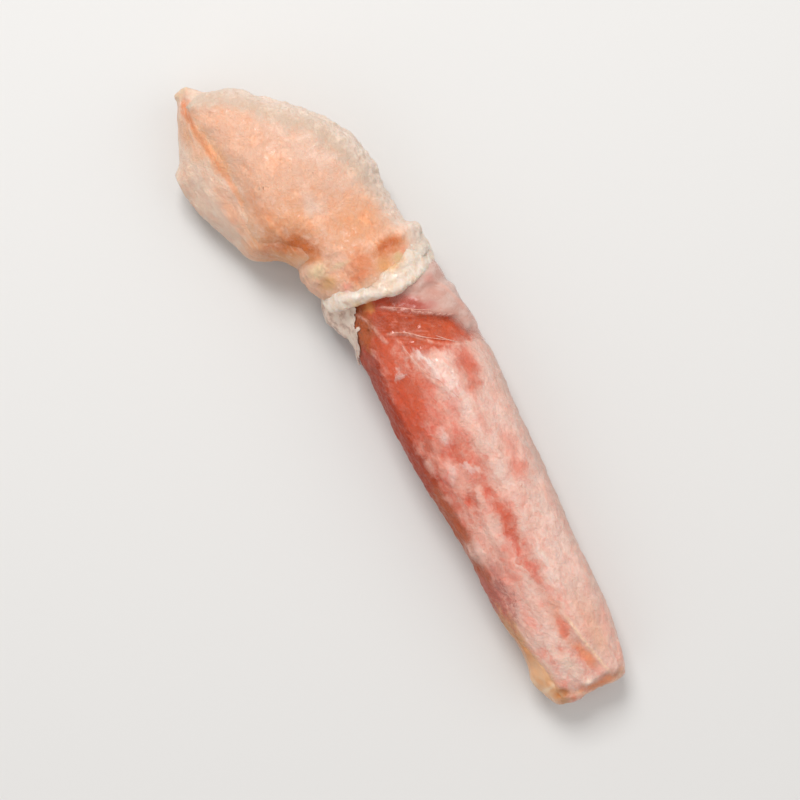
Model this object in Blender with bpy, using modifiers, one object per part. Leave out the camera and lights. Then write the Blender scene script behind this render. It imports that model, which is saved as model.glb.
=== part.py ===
"""Snow crab leg portion: the base joint in its shell, a pale rim with skin behind it, and the peeled leg meat.

Lengths are in millimetres up to the moment a point is placed. X runs along the leg towards its tip,
and Z is up. The portion lies on the table at Z = 0, on a flat under the leg and on the joint's belly.
"""

import math

import bmesh
import bpy
from mathutils import Vector

MM = 0.001
LEG_POINTS = 12  # round a section of the leg
SUBDIVISIONS = {"leg_meat": 2, "joint_meat": 1, "joint_shell": 1, "joint_membrane": 1, "collar_rim": 0}
TABLE_SIZE = 200.0  # the block below the table, which cuts the flat that the leg rests on

# The rim stands round the neck of the joint, and its top leans forward over the leg. Sections
# nearer to it than RIM_REACH lean with it, less and less the farther off they are.
RIM_CENTRE = Vector((-4.9, -1.7, 8.5))
RIM_HALF_WIDTH, RIM_HALF_HEIGHT = 8.5, 7.2  # to the middle of the rim's wall
RIM_HALF_WALL, RIM_HALF_LENGTH = 1.15, 1.5
RIM_AROUND, RIM_ACROSS = 36, 8
RIM_TURN, RIM_TILT = 0.04, 0.20  # back along X for each millimetre across, and forward for each one up
RIM_REACH = 14.0

SHELL_WALL, MEMBRANE_WALL = 0.8, 0.5
MEAT_INSET = 1.75  # from the shell's outside to the meat, which leaves a gap behind the wall
BARE_INSET = (2.4, 1.2, 0.6, 0.4, 0.4, 0.6, 1.6, 3.9, 2.9)  # of the bare meat at each joint section
BARE_FROM, BARE_TO = 5, 9  # the points of a joint section between which the shell is cut away

# x, middle, half width, underside, top. Where the underside is below zero the table cuts a flat.
LEG_SECTIONS = (
    (-8.4, -1.7, 6.3, 3.3, 13.8),
    (-4.9, -1.7, 6.5, 3.1, 14.1),
    (-0.4, -1.3, 7.6, 1.2, 15.0),
    (6.5, -1.2, 8.8, -0.7, 15.8),
    (17.0, -0.1, 9.9, -0.9, 16.3),
    (30.0, 0.1, 9.4, -0.9, 15.7),
    (43.0, 0.2, 9.0, -0.9, 14.9),
    (54.0, 0.3, 8.8, -0.8, 13.9),
    (63.5, 0.6, 8.6, -0.7, 12.6),
    (69.8, 0.6, 7.6, 0.0, 11.0),
    (72.8, 0.5, 5.0, 1.6, 8.8),
)
LEG_ENDS = (Vector((-8.6, -1.7, 8.5)), Vector((73.4, 0.5, 5.2)))

# A torn sleeve of skin that hangs from behind the rim over the start of the leg. Its sections
# begin at MEMBRANE_START and reach ever farther out along X, the last one as far as the torn edge,
# which is given from the far side over the top, the near side and the underside.
MEMBRANE_START = -3.0
MEMBRANE_SECTIONS = (
    (-2.0, 9.2, -0.1, 16.6),
    (-1.7, 9.7, -0.5, 16.8),
    (-1.2, 10.2, -1.0, 16.9),
    (-0.6, 10.5, -1.4, 17.1),
)
MEMBRANE_EDGE = (12.8, 12.2, 10.4, 8.0, 5.4, 4.4, 6.0, 6.8, 5.6, 6.4, 8.2, 11.0)

# x, cut side, ridge, far side, ridge height, crown height, underside
JOINT_SECTIONS = (
    (-47.4, -20.9, -19.6, -16.0, 9.6, 10.0, 4.6),
    (-44.6, -22.0, -19.3, -11.6, 12.6, 13.0, 1.4),
    (-40.5, -23.2, -18.9, -5.6, 14.4, 15.2, 0.0),
    (-36.0, -25.2, -18.4, -0.6, 15.5, 16.8, 0.0),
    (-31.0, -27.4, -17.9, 3.9, 16.1, 17.7, 0.0),
    (-26.0, -26.4, -18.4, 5.8, 16.0, 17.9, 0.0),
    (-21.0, -24.8, -19.8, 6.0, 15.0, 17.4, 0.0),
    (-17.2, -22.6, -19.6, 5.7, 13.8, 16.7, 0.2),
)
# The joint narrows to an oval at its neck: x, middle, half width, underside, top.
NECK_SECTIONS = (
    (-13.4, -4.5, 9.9, 0.7, 16.4),
    (-10.2, -2.6, 10.0, 0.6, 16.5),
    (-6.9, -1.8, 9.8, 0.6, 16.5),
)
JOINT_ENDS = (Vector((-48.6, -19.0, 7.2)), Vector((-10.6, -2.4, 8.5)))

# How a joint section runs round: the share of the way from the ridge to the far side (or, if
# negative, from the ridge to the cut side), and the share of the height above the underside.
JOINT_ROUND = (
    (1.00, 0.44),
    (0.95, 0.72),
    (0.80, 0.92),
    (0.55, 1.00),
    (0.25, 1.00),
    (0.00, 1.00),
    (-0.55, 0.70),
    (-1.00, 0.36),
    (-0.80, 0.06),
    (0.02, 0.00),
    (0.32, 0.00),
    (0.62, 0.00),
    (0.86, 0.02),
    (0.98, 0.19),
)

COLOURS = {
    "leg_meat": ((0.86, 0.36, 0.28, 1.0), 0.42),
    "joint_meat": ((0.86, 0.74, 0.62, 1.0), 0.45),
    "joint_shell": ((0.90, 0.52, 0.32, 1.0), 0.50),
    "joint_membrane": ((0.88, 0.62, 0.58, 1.0), 0.35),
    "collar_rim": ((0.90, 0.84, 0.72, 1.0), 0.50),
}


def clear_scene():
    for obj in list(bpy.data.objects):
        bpy.data.objects.remove(obj)


def new_collection(name):
    made = bpy.data.collections.new(name)
    bpy.context.scene.collection.children.link(made)
    return made


def new_object(name, bm, collection):
    mesh = bpy.data.meshes.new(name)
    bm.to_mesh(mesh)
    bm.free()
    obj = bpy.data.objects.new(name, mesh)
    collection.objects.link(obj)
    return obj


def finish_piece(obj):
    """Gives a piece its smooth shading, its roundness, and a Principled material in its own colour."""
    colour, roughness = COLOURS[obj.name]
    material = bpy.data.materials.new(obj.name)
    material.use_nodes = True
    shader = material.node_tree.nodes["Principled BSDF"]
    shader.inputs["Base Color"].default_value = colour
    shader.inputs["Roughness"].default_value = roughness
    obj.data.materials.append(material)
    obj.data.shade_smooth()
    if SUBDIVISIONS[obj.name]:
        modifier = obj.modifiers.new("Round", "SUBSURF")
        modifier.levels = modifier.render_levels = SUBDIVISIONS[obj.name]


def give_wall(obj, thickness):
    wall = obj.modifiers.new("Wall", "SOLIDIFY")
    wall.thickness = MM * thickness
    wall.offset = -1.0


def lean(x, across, up):
    """How far along X a point is carried because the sections near the rim lean with it."""
    share = max(0.0, 1.0 - abs(x - RIM_CENTRE.x) / RIM_REACH)
    return share * (RIM_TILT * up - RIM_TURN * across)


def oval_section(along, middle, half_width, underside, top):
    """The cage points of an oval across the leg, enlarged by what subdivision will draw in.

    Along holds the place along X of each point round the oval.
    """
    growth = 3.0 / (2.0 + math.cos(2.0 * math.pi / len(along)))
    half_height = (top - underside) / 2.0
    section = []
    for step, x in enumerate(along):
        angle = 2.0 * math.pi * step / len(along)
        across = growth * half_width * math.cos(angle)
        up = growth * half_height * math.sin(angle)
        section.append(Vector((x + lean(x, across, up), middle + across, underside + half_height + up)))
    return section


def joint_section(x, cut_side, ridge, far_side, ridge_height, crown_height, underside):
    """The cage points of a section of the joint: a crowned top, a ridge, and a bulging cut side."""
    section = []
    for share, rise in JOINT_ROUND:
        reach = far_side - ridge if share > 0.0 else ridge - cut_side
        crown = (crown_height - ridge_height) * math.sin(math.pi * min(max(share, 0.0), 0.5))
        height = rise * (ridge_height + crown - underside)
        section.append(Vector((x, ridge + share * reach, underside + height)))
    return section


def joint_sections():
    sections = [joint_section(*row) for row in JOINT_SECTIONS]
    return sections + [oval_section((x,) * len(JOINT_ROUND), *row) for x, *row in NECK_SECTIONS]


def drawn_in(sections):
    """The sections moved inwards under the shell, and less so where the shell is cut away."""
    moved = []
    for number, points in enumerate(sections):
        bare_inset = BARE_INSET[number] if number < len(BARE_INSET) else MEAT_INSET
        ring = []
        for step, point in enumerate(points):
            along = (points[(step + 1) % len(points)] - points[step - 1]).normalized()
            inwards = Vector((0.0, -along.z, along.y))
            inset = bare_inset if BARE_FROM < step < BARE_TO else MEAT_INSET
            ring.append(point + inset * inwards)
        moved.append(ring)
    return moved


def lofted(sections, ends=None):
    """A ball whose rings are carried to the sections and its poles to the ends, or an open tube."""
    points, rings = len(sections[0]), len(sections) + 1
    bm = bmesh.new()
    bmesh.ops.create_uvsphere(bm, u_segments=points, v_segments=rings, radius=1.0)
    poles = []
    for vertex in bm.verts:
        ring = round(rings * math.acos(max(-1.0, min(1.0, vertex.co.z))) / math.pi)
        step = round(points * math.atan2(vertex.co.y, vertex.co.x) / (2.0 * math.pi)) % points
        if 0 < ring < rings:
            vertex.co = MM * sections[ring - 1][step]
        elif ends:
            vertex.co = MM * ends[min(ring, 1)]
        else:
            poles.append(vertex)
    bmesh.ops.delete(bm, geom=poles, context="VERTS")
    bmesh.ops.reverse_faces(bm, faces=bm.faces)
    return bm


def make_leg_meat(collection, table):
    sections = [oval_section((x,) * LEG_POINTS, *row) for x, *row in LEG_SECTIONS]
    leg = new_object("leg_meat", lofted(sections, LEG_ENDS), collection)
    finish_piece(leg)
    cut_flat(leg, table)


def cut_flat(obj, table):
    flat = obj.modifiers.new("Flat", "BOOLEAN")
    flat.operation = "DIFFERENCE"
    flat.solver = "EXACT"
    flat.object = table


def make_joint_membrane(collection, table):
    """An open sleeve over the start of the leg, given its wall."""
    sections = []
    for number, row in enumerate(MEMBRANE_SECTIONS):
        share = number / (len(MEMBRANE_SECTIONS) - 1)
        along = [MEMBRANE_START + share * (edge - MEMBRANE_START) for edge in MEMBRANE_EDGE]
        sections.append(oval_section(along, *row))
    membrane = new_object("joint_membrane", lofted(sections), collection)
    finish_piece(membrane)
    give_wall(membrane, MEMBRANE_WALL)
    cut_flat(membrane, table)


def make_joint_meat(collection):
    sections = drawn_in(joint_sections()[:-1])
    meat = new_object("joint_meat", lofted(sections, JOINT_ENDS), collection)
    finish_piece(meat)


def make_joint_shell(collection):
    """An open tube round the joint, with one side cut away as far as the neck, given its wall."""
    sections = joint_sections()
    bm = lofted(sections)
    bare = [p for points in sections[: len(JOINT_SECTIONS)] for p in points[BARE_FROM + 1 : BARE_TO]]
    removed = [v for v in bm.verts if any((v.co - MM * p).length < MM * 0.001 for p in bare)]
    bmesh.ops.delete(bm, geom=removed, context="VERTS")
    shell = new_object("joint_shell", bm, collection)
    finish_piece(shell)
    give_wall(shell, SHELL_WALL)


def make_collar_rim(collection):
    """A ring of oval section, spun and then drawn out to stand round the neck."""
    bm = bmesh.new()
    for vertex in bmesh.ops.create_circle(bm, segments=RIM_ACROSS, radius=1.0)["verts"]:
        across = RIM_HALF_WIDTH + vertex.co.y * RIM_HALF_WALL
        vertex.co = Vector((vertex.co.x * RIM_HALF_LENGTH, across, 0.0))
    axis = (1.0, 0.0, 0.0)
    full = 2.0 * math.pi
    bmesh.ops.spin(bm, geom=bm.edges[:], axis=axis, steps=RIM_AROUND, angle=full, use_merge=True)
    for vertex in bm.verts:
        out = math.hypot(vertex.co.y, vertex.co.z)
        shorter = (RIM_HALF_HEIGHT - RIM_HALF_WIDTH) * vertex.co.z / out
        across, up = vertex.co.y, vertex.co.z + shorter
        along = vertex.co.x + RIM_TILT * up - RIM_TURN * across
        vertex.co = MM * (RIM_CENTRE + Vector((along, across, up)))
    bmesh.ops.recalc_face_normals(bm, faces=bm.faces)
    finish_piece(new_object("collar_rim", bm, collection))


def make_table(collection):
    """The space below the table: what it cuts off leaves the flat that the leg rests on."""
    bm = bmesh.new()
    bmesh.ops.create_cube(bm, size=MM * TABLE_SIZE)
    bmesh.ops.translate(bm, verts=bm.verts, vec=(0.0, 0.0, -MM * TABLE_SIZE / 2.0))
    table = new_object("table_cutter", bm, collection)
    table.hide_render = True
    table.display_type = "WIRE"
    return table


def centre_on_base(pieces, cutters):
    """Moves the whole so that the origin is under the middle of its box, on the table."""
    graph = bpy.context.evaluated_depsgraph_get()
    points = []
    for obj in pieces.objects:
        finished = obj.evaluated_get(graph)
        points += [vertex.co.copy() for vertex in finished.to_mesh().vertices]
        finished.to_mesh_clear()
    low = Vector([min(point[axis] for point in points) for axis in range(3)])
    high = Vector([max(point[axis] for point in points) for axis in range(3)])
    for obj in list(pieces.objects) + list(cutters.objects):
        obj.location = Vector((-(low.x + high.x) / 2.0, -(low.y + high.y) / 2.0, -low.z))


clear_scene()
portion = new_collection("snow_crab_leg_portion")
cutters = new_collection("cutters")
table = make_table(cutters)
make_leg_meat(portion, table)
make_joint_membrane(portion, table)
make_joint_meat(portion)
make_joint_shell(portion)
make_collar_rim(portion)
centre_on_base(portion, cutters)
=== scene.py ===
"""Snow crab leg portion: the peeled leg, its base joint in the shell, the pale rim and the torn skin."""

import math

import bpy
import numpy as np
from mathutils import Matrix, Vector, kdtree, noise
from mathutils.bvhtree import BVHTree


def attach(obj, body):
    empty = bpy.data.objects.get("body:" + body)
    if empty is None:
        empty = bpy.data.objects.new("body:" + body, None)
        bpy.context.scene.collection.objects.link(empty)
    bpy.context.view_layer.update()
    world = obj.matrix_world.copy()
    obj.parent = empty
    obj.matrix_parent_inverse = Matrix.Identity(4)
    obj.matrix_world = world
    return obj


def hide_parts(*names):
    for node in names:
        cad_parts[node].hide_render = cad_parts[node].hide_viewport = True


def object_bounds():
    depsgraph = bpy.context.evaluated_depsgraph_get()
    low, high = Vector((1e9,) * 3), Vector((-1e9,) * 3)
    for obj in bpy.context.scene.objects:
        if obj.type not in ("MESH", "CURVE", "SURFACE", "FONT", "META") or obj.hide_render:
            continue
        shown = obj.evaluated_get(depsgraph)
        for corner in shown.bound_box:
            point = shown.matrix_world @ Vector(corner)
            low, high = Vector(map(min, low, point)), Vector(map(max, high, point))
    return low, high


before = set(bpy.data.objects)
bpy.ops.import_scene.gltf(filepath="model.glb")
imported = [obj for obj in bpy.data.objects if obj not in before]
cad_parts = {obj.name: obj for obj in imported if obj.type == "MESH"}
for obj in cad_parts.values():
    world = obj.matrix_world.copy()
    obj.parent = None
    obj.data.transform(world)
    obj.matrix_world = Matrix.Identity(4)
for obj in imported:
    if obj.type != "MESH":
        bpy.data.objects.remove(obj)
cad_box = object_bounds()


# ---- The peeled leg meat ----
# One long muscle of cooked crab, drawn whole out of its shell and frozen. Red pigment lies over it
# in patches and in a streak along its middle, and pale marbled flesh and a little frost show between.
# Shade is painted darker along its near lower flank, and glare off its wet top is painted in as
# white highlights.
MM = 0.001

LEG_VOXEL = 0.48 * MM
SHOULDER = ((-5.0, 8.4), (6.0, 9.9), (20.0, 10.1), (34.0, 9.9), (46.0, 10.5), (57.0, 12.4))
STREAK_VALLEY = ((9.0, 6.6), (20.0, 7.2), (33.0, 7.4), (44.0, 7.2), (52.0, 8.8), (57.5, 10.6))
LOWER_VALLEY = ((6.0, 3.0), (17.0, 4.6), (27.0, 3.2), (36.0, 3.4), (48.0, 4.6))
TIP_CREASE = ((57.6, 3.4), (59.4, 5.4), (59.0, 7.4), (59.9, 9.2), (59.2, 11.2), (59.8, 13.0), (58.0, 14.6))
TIP_LIP = ((56.0, 6.2), (57.8, 7.6), (58.2, 9.4), (57.6, 11.6), (58.2, 13.6))
TIP_EDGE = ((59.0, 14.6), (60.3, 13.0), (60.6, 10.4), (60.6, 8.2), (59.9, 6.4), (58.4, 5.0))
BRIGHT_LINE = ((45.4, 9.3), (48.6, 9.8), (52.4, 10.6), (56.4, 11.6), (59.2, 12.2))
TORN_LINES = (
    ((-8.3, 2.6), (-7.8, 4.2), (-6.4, 6.5), (-3.7, 9.2), (-2.1, 11.8), (-1.2, 14.8)),
    ((-14.0, -0.6), (-11.6, 0.9), (-8.1, 1.8), (-6.8, 2.4)),
    ((-7.2, 3.7), (-5.8, 4.2), (-3.4, 4.5), (-0.5, 5.4), (1.6, 6.2), (4.4, 8.0)),
)
LEG_GROOVES = (
    (SHOULDER, 3.0, -0.40),
    (STREAK_VALLEY, 2.2, 0.25),
    (LOWER_VALLEY, 1.6, 0.35),
    (TIP_CREASE, 1.1, 0.34),
    (TIP_LIP, 1.2, -0.22),
    (BRIGHT_LINE, 0.6, -0.22),
    *((path, 0.45, -0.15) for path in TORN_LINES),
)
LEG_CORNERS = (((59.0, 13.4), (4.5, 4.5), (0.9, 0.7)), ((59.4, 2.6), (4.5, 4.5), (0.9, -0.7)))
LEG_LUMPS = (
    ((30.6, 0.8), (3.2, 2.2), 0.60),
    ((17.0, 2.4), (3.6, 2.0), 0.45),
    ((11.0, 4.2), (2.4, 1.6), 0.40),
    ((-1.3, 1.7), (1.0, 1.2), 0.40),
    ((2.0, 8.2), (7.0, 2.0), 0.30),
    ((22.5, 3.6), (2.4, 1.4), -0.35),
    ((39.0, 1.2), (4.0, 2.0), -0.40),
    ((8.0, 13.5), (6.0, 3.0), -0.35),
    ((25.0, 13.0), (9.0, 3.0), 0.30),
    ((44.0, 12.6), (6.0, 3.0), -0.30),
    ((60.3, 5.6), (1.6, 2.4), 0.35),
    ((58.6, 8.1), (0.9, 1.3), 0.35),
    ((58.8, 13.4), (1.2, 1.2), 0.35),
    ((58.2, 3.3), (1.2, 1.5), -0.35),
)
NEAR_OUTLINE = (
    (-14.0, -0.6),
    (-8.0, -2.2),
    (0.0, -3.0),
    (12.0, -2.8),
    (20.0, -2.0),
    (28.0, -1.2),
    (40.0, -0.9),
    (50.0, -0.3),
    (60.0, 2.2),
)
FLANKS = (
    ((0.0, -3.5), (14.0, 8.0), (0.0, -1.1)),
    ((14.0, -3.5), (14.0, 8.0), (0.0, -1.4)),
    ((-12.0, 18.5), (8.0, 8.0), (0.0, 1.0)),
    ((0.0, 18.5), (11.0, 8.0), (0.0, 0.9)),
    ((-7.0, -3.0), (5.0, 6.0), (0.0, -0.9)),
    ((-12.5, -1.5), (4.5, 4.5), (0.0, -1.1)),
    ((25.0, -3.0), (9.0, 5.0), (0.0, -0.5)),
    ((48.5, -1.0), (7.0, 5.0), (0.0, 0.6)),
)


def only(*pieces):
    """Selects these pieces and nothing else, with the last one active."""
    bpy.ops.object.select_all(action="DESELECT")
    for piece in pieces:
        piece.select_set(True)
    bpy.context.view_layer.objects.active = pieces[-1]


def edited(piece, *steps):
    """Takes these steps one after the other on the whole of the piece, in edit mode."""
    only(piece)
    bpy.ops.object.mode_set(mode="EDIT")
    bpy.ops.mesh.select_all(action="SELECT")
    for step in steps:
        step()
    bpy.ops.object.mode_set(mode="OBJECT")


def close_points_merged():
    """Merges the points that lie within a thousandth of a millimetre of each other, in edit mode."""
    bpy.ops.mesh.remove_doubles(threshold=0.001 * MM)


def twin_of(source, name):
    """A new bare piece with its own copy of the source's mesh."""
    piece = bpy.data.objects.new(name, source.data.copy())
    piece.data.name = name
    bpy.context.scene.collection.objects.link(piece)
    piece.data.materials.clear()
    return piece


def copied(node, name):
    """A new piece from a copy of a CAD node's mesh, its loose triangles merged into quads."""
    piece = twin_of(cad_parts[node], name)
    edited(piece, close_points_merged, bpy.ops.mesh.tris_convert_to_quads)
    return piece


def worked(piece, kind, **settings):
    """Adds a modifier with these settings to the piece, and applies it."""
    modifier = piece.modifiers.new(kind.title(), kind)
    for setting, value in settings.items():
        setattr(modifier, setting, value)
    only(piece)
    bpy.ops.object.modifier_apply(modifier=modifier.name)


def evened(piece, grain):
    """Makes the piece anew in even faces of this size, in metres, as one closed skin."""
    worked(piece, "REMESH", mode="VOXEL", voxel_size=grain)


def rounded(piece, levels):
    worked(piece, "SUBSURF", levels=levels, render_levels=levels)


def points_of(piece):
    """The piece's points in millimetres, one row each."""
    flat = np.empty(len(piece.data.vertices) * 3)
    piece.data.vertices.foreach_get("co", flat)
    return flat.reshape(-1, 3) / MM


def put_points(piece, points):
    piece.data.vertices.foreach_set("co", (points * MM).ravel())
    piece.data.update()


def normals_of(piece):
    flat = np.empty(len(piece.data.vertices) * 3)
    piece.data.vertex_normals.foreach_get("vector", flat)
    return flat.reshape(-1, 3)


def eased(value, start, end):
    """0 at start and 1 at end, with a smooth way between."""
    share = np.clip((value - start) / (end - start), 0.0, 1.0)
    return share * share * (3.0 - 2.0 * share)


def upper(piece):
    """1 where the surface looks up, and 0 where it looks down."""
    return eased(normals_of(piece)[:, 2], -0.25, 0.25)


def curved(path, steps=6):
    """The places along a smooth curve through these places."""
    path = np.array(path, dtype=float)
    ends = np.vstack((2.0 * path[0] - path[1], path, 2.0 * path[-1] - path[-2]))
    share = np.linspace(0.0, 1.0, steps, endpoint=False)[:, None]
    runs = []
    for a, b, c, d in zip(ends, ends[1:], ends[2:], ends[3:]):
        bend = (2.0 * a - 5.0 * b + 4.0 * c - d) * share**2 + (3.0 * (b - c) + d - a) * share**3
        runs.append(b + 0.5 * ((c - a) * share + bend))
    return np.vstack((*runs, path[-1:]))


def nearness(points, path, width, fade=8.0):
    """1 along a path seen from above and 0 at width from it. It fades towards the path's ends."""
    path = curved(path)
    steps = np.diff(path, axis=0)
    lengths = np.linalg.norm(steps, axis=1)
    before = np.concatenate(([0.0], np.cumsum(lengths)))
    near = np.zeros(len(points))
    for start, step, length, run in zip(path, steps, lengths, before):
        share = np.clip((points[:, :2] - start) @ step / length**2, 0.0, 1.0)
        away = np.linalg.norm(points[:, :2] - start - np.outer(share, step), axis=1)
        along = (run + share * length) / before[-1]
        strength = np.minimum(1.0, fade * np.minimum(along, 1.0 - along) + 0.1)
        near = np.maximum(near, strength * (1.0 - eased(away, 0.0, width)))
    return near


def swollen(piece, amount):
    """Moves each point out along its normal by its own amount in millimetres, or in if it is below 0."""
    points = points_of(piece) + normals_of(piece) * np.reshape(amount, (-1, 1))
    put_points(piece, points)


def scored(piece, path, width, depth):
    """Sinks a soft groove into the upper side, or raises a ridge where depth is below 0."""
    swollen(piece, -depth * nearness(points_of(piece), path, width) * upper(piece))


def dimpled(piece, lumps):
    """Raises oval lumps on the upper side, or sinks dimples where their height is below 0."""
    for centre, reach, height in lumps:
        away = np.linalg.norm((points_of(piece)[:, :2] - centre) / np.array(reach), axis=1)
        swollen(piece, height * (1.0 - eased(away, 0.0, 1.0)) * upper(piece))


def pulled(piece, pulls):
    """Draws the piece by each pull's move, most at its centre seen from above, and not beyond its reach."""
    for centre, reach, move in pulls:
        points = points_of(piece)
        away = np.linalg.norm((points[:, :2] - centre) / np.array(reach), axis=1)
        put_points(piece, points + np.outer(1.0 - eased(away, 0.0, 1.0), (*move, 0.0)))


def weighted(piece, name, weights):
    """Writes a vertex group that holds each point's weight."""
    group = piece.vertex_groups.new(name=name)
    for number, weight in enumerate(weights):
        group.add([number], float(weight), "REPLACE")
    return name


def smoothed(piece, rounds, where=None, factor=0.5):
    """Smooths the piece, all over or where there is weight."""
    settings = {} if where is None else {"vertex_group": weighted(piece, "where", where)}
    worked(piece, "SMOOTH", factor=factor, iterations=rounds, **settings)
    piece.vertex_groups.clear()


def relief(
    piece, grain, depth, raised=0.5, stretch=(1.0, 1.0, 1.0), turn=0.0,
    basis="BLENDER_ORIGINAL", where=None, seed=0,
):
    """Raises and sinks the surface by depth in all, in lumps as long as grain, both in millimetres.

    Raised is the share of the depth that stands proud. The lumps are stretched along axes that are
    turned about the upright, and where holds a weight for each point.
    """
    texture = bpy.data.textures.new("relief", "CLOUDS")
    texture.noise_scale = 1.0
    texture.noise_depth = 2
    texture.noise_basis = basis
    guide = bpy.data.objects.new("guide", None)
    bpy.context.scene.collection.objects.link(guide)
    guide.location = (seed * 37.0 * MM, seed * 11.0 * MM, seed * 5.0 * MM)
    guide.rotation_euler = (0.0, 0.0, math.radians(turn))
    guide.scale = [grain * MM * share for share in stretch]
    bpy.context.view_layer.update()
    settings = {"strength": depth * MM, "mid_level": 1.0 - raised}
    if where is not None:
        settings["vertex_group"] = weighted(piece, "where", where)
    settings.update(texture=texture, texture_coords="OBJECT", texture_coords_object=guide)
    worked(piece, "DISPLACE", **settings)
    piece.vertex_groups.clear()
    bpy.data.objects.remove(guide)
    bpy.data.textures.remove(texture)


def settled(piece, crisp=False):
    """Keeps the piece above the table, and inside the solid's own outer size, and smooths its shading.

    A crisp piece is a thin sheet, and the rim of its wall keeps its corners.
    """
    points = points_of(piece)
    low = np.array(cad_box[0]) / MM + 0.02
    high = np.array(cad_box[1]) / MM - 0.02
    low[2] = 0.0
    put_points(piece, np.clip(points, low, high))
    only(piece)
    if crisp:
        bpy.ops.object.shade_smooth_by_angle(angle=math.radians(68.0))
    else:
        bpy.ops.object.shade_smooth()


def stored(piece, name, mask):
    """Keeps a mask on the piece's points, for its material to read."""
    made = piece.data.attributes.new(name, "FLOAT", "POINT")
    made.data.foreach_set("value", np.ascontiguousarray(mask, dtype=np.float32))


leg = copied("leg_meat", "peeled_leg_meat")
evened(leg, LEG_VOXEL)
smoothed(leg, 8)
rounded(leg, 1)
pulled(leg, LEG_CORNERS + FLANKS)
for path, width, depth in LEG_GROOVES:
    scored(leg, path, width, depth)
dimpled(leg, LEG_LUMPS)
relief(leg, 8.0, 1.0, raised=0.4, stretch=(2.0, 1.0, 1.0), seed=1)
relief(leg, 2.4, 0.42, raised=0.45, stretch=(1.8, 1.0, 1.0), turn=4.0, seed=2)
relief(leg, 1.2, 0.32, stretch=(1.3, 1.0, 1.0), turn=-8.0, seed=3)
relief(leg, 0.65, 0.20, stretch=(1.5, 1.0, 1.0), turn=-3.0, seed=4)
settled(leg)


def wire(tree, kind, sockets=None, **settings):
    """Adds a node. Each socket named gets a value, or a link where the value is another node's socket."""
    made = tree.nodes.new("ShaderNode" + kind)
    for setting, value in settings.items():
        setattr(made, setting, value)
    for socket, value in (sockets or {}).items():
        if isinstance(value, bpy.types.NodeSocket):
            tree.links.new(value, made.inputs[socket])
        else:
            made.inputs[socket].default_value = value
    return made


def calc(tree, operation, *values):
    return wire(tree, "Math", dict(enumerate(values)), operation=operation).outputs[0]


def times(tree, first, second):
    return calc(tree, "MULTIPLY", first, second)


def plus(tree, first, second):
    return calc(tree, "ADD", first, second)


def swung(tree, grain, amount):
    """A noise brought down to swing about nothing, by half of the amount each way."""
    return times(tree, calc(tree, "SUBTRACT", grain, 0.5), amount)


def kept(tree, name):
    """The mask that the piece's mesh holds under this name."""
    return wire(tree, "Attribute", attribute_name=name).outputs["Fac"]


def mixed(tree, share, first, second, blend="MIX"):
    """The colour that lies share of the way from the first to the second."""
    first, second = ((*c, 1.0) if isinstance(c, tuple) and len(c) == 3 else c for c in (first, second))
    sockets = {0: share, 6: first, 7: second}
    return wire(tree, "Mix", sockets, data_type="RGBA", blend_type=blend, clamp_factor=True).outputs[2]


def laid(tree, colour, mask, share, paint):
    """The colour with a paint laid over it where the mask is, at this share of its strength."""
    return mixed(tree, times(tree, mask, share), colour, paint)


def span(tree, value, low, high, to_low=0.0, to_high=1.0):
    """Carries a value smoothly from between low and high to between to_low and to_high."""
    sockets = {"Value": value, "From Min": low, "From Max": high, "To Min": to_low, "To Max": to_high}
    return wire(tree, "MapRange", sockets, interpolation_type="SMOOTHSTEP").outputs[0]


def drifted(tree, colour, grain, low, high, share, paint, blend="MIX"):
    """The colour with a paint laid over it in drifts, from none where the grain is low to this share."""
    return mixed(tree, span(tree, grain, low, high, 0.0, share), colour, paint, blend)


def grains(tree, where, per_mm, detail=3.0, rough=0.55, stretch=None):
    """A soft noise with this many grains to the millimetre."""
    if stretch:
        where = wire(tree, "Mapping", {"Vector": where, "Scale": stretch}).outputs[0]
    sockets = {"Vector": where, "Scale": per_mm, "Detail": detail, "Roughness": rough}
    return wire(tree, "TexNoise", sockets).outputs["Fac"]


def new_group(name, inputs, outputs):
    """An empty node group, with the sockets for what comes in and what goes out."""
    group = bpy.data.node_groups.new(name, "ShaderNodeTree")
    for label, value in inputs.items():
        kind = "NodeSocketVector" if isinstance(value, tuple) else "NodeSocketFloat"
        group.interface.new_socket(name=label, in_out="INPUT", socket_type=kind).default_value = value
    for label, kind in outputs.items():
        group.interface.new_socket(name=label, in_out="OUTPUT", socket_type="NodeSocket" + kind)
    return group, group.nodes.new("NodeGroupInput").outputs, group.nodes.new("NodeGroupOutput").inputs


def placed(tree, group, **sockets):
    """Puts a node group in a material, with these values on its inputs."""
    made = tree.nodes.new("ShaderNodeGroup")
    made.node_tree = group
    for socket, value in sockets.items():
        socket = socket.replace("_", " ")
        if isinstance(value, bpy.types.NodeSocket):
            tree.links.new(value, made.inputs[socket])
        else:
            made.inputs[socket].default_value = value
    return made.outputs


def wander_group():
    """Shifts each place a little, so that what is laid over it gets an uneven outline."""
    group, given, made = new_group("Wander", {"Place": (0.0, 0.0, 0.0), "Amount": 3.0}, {"Place": "Vector"})
    drift = wire(group, "TexNoise", {"Vector": given["Place"], "Scale": 0.4, "Detail": 4.0}).outputs["Color"]
    drift = wire(group, "VectorMath", {0: drift, 1: (0.5, 0.5, 0.5)}, operation="SUBTRACT").outputs[0]
    drift = wire(group, "VectorMath", {0: drift, "Scale": given["Amount"]}, operation="SCALE").outputs[0]
    moved = wire(group, "VectorMath", {0: given["Place"], 1: drift}, operation="ADD").outputs[0]
    group.links.new(moved, made["Place"])
    return group


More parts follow.
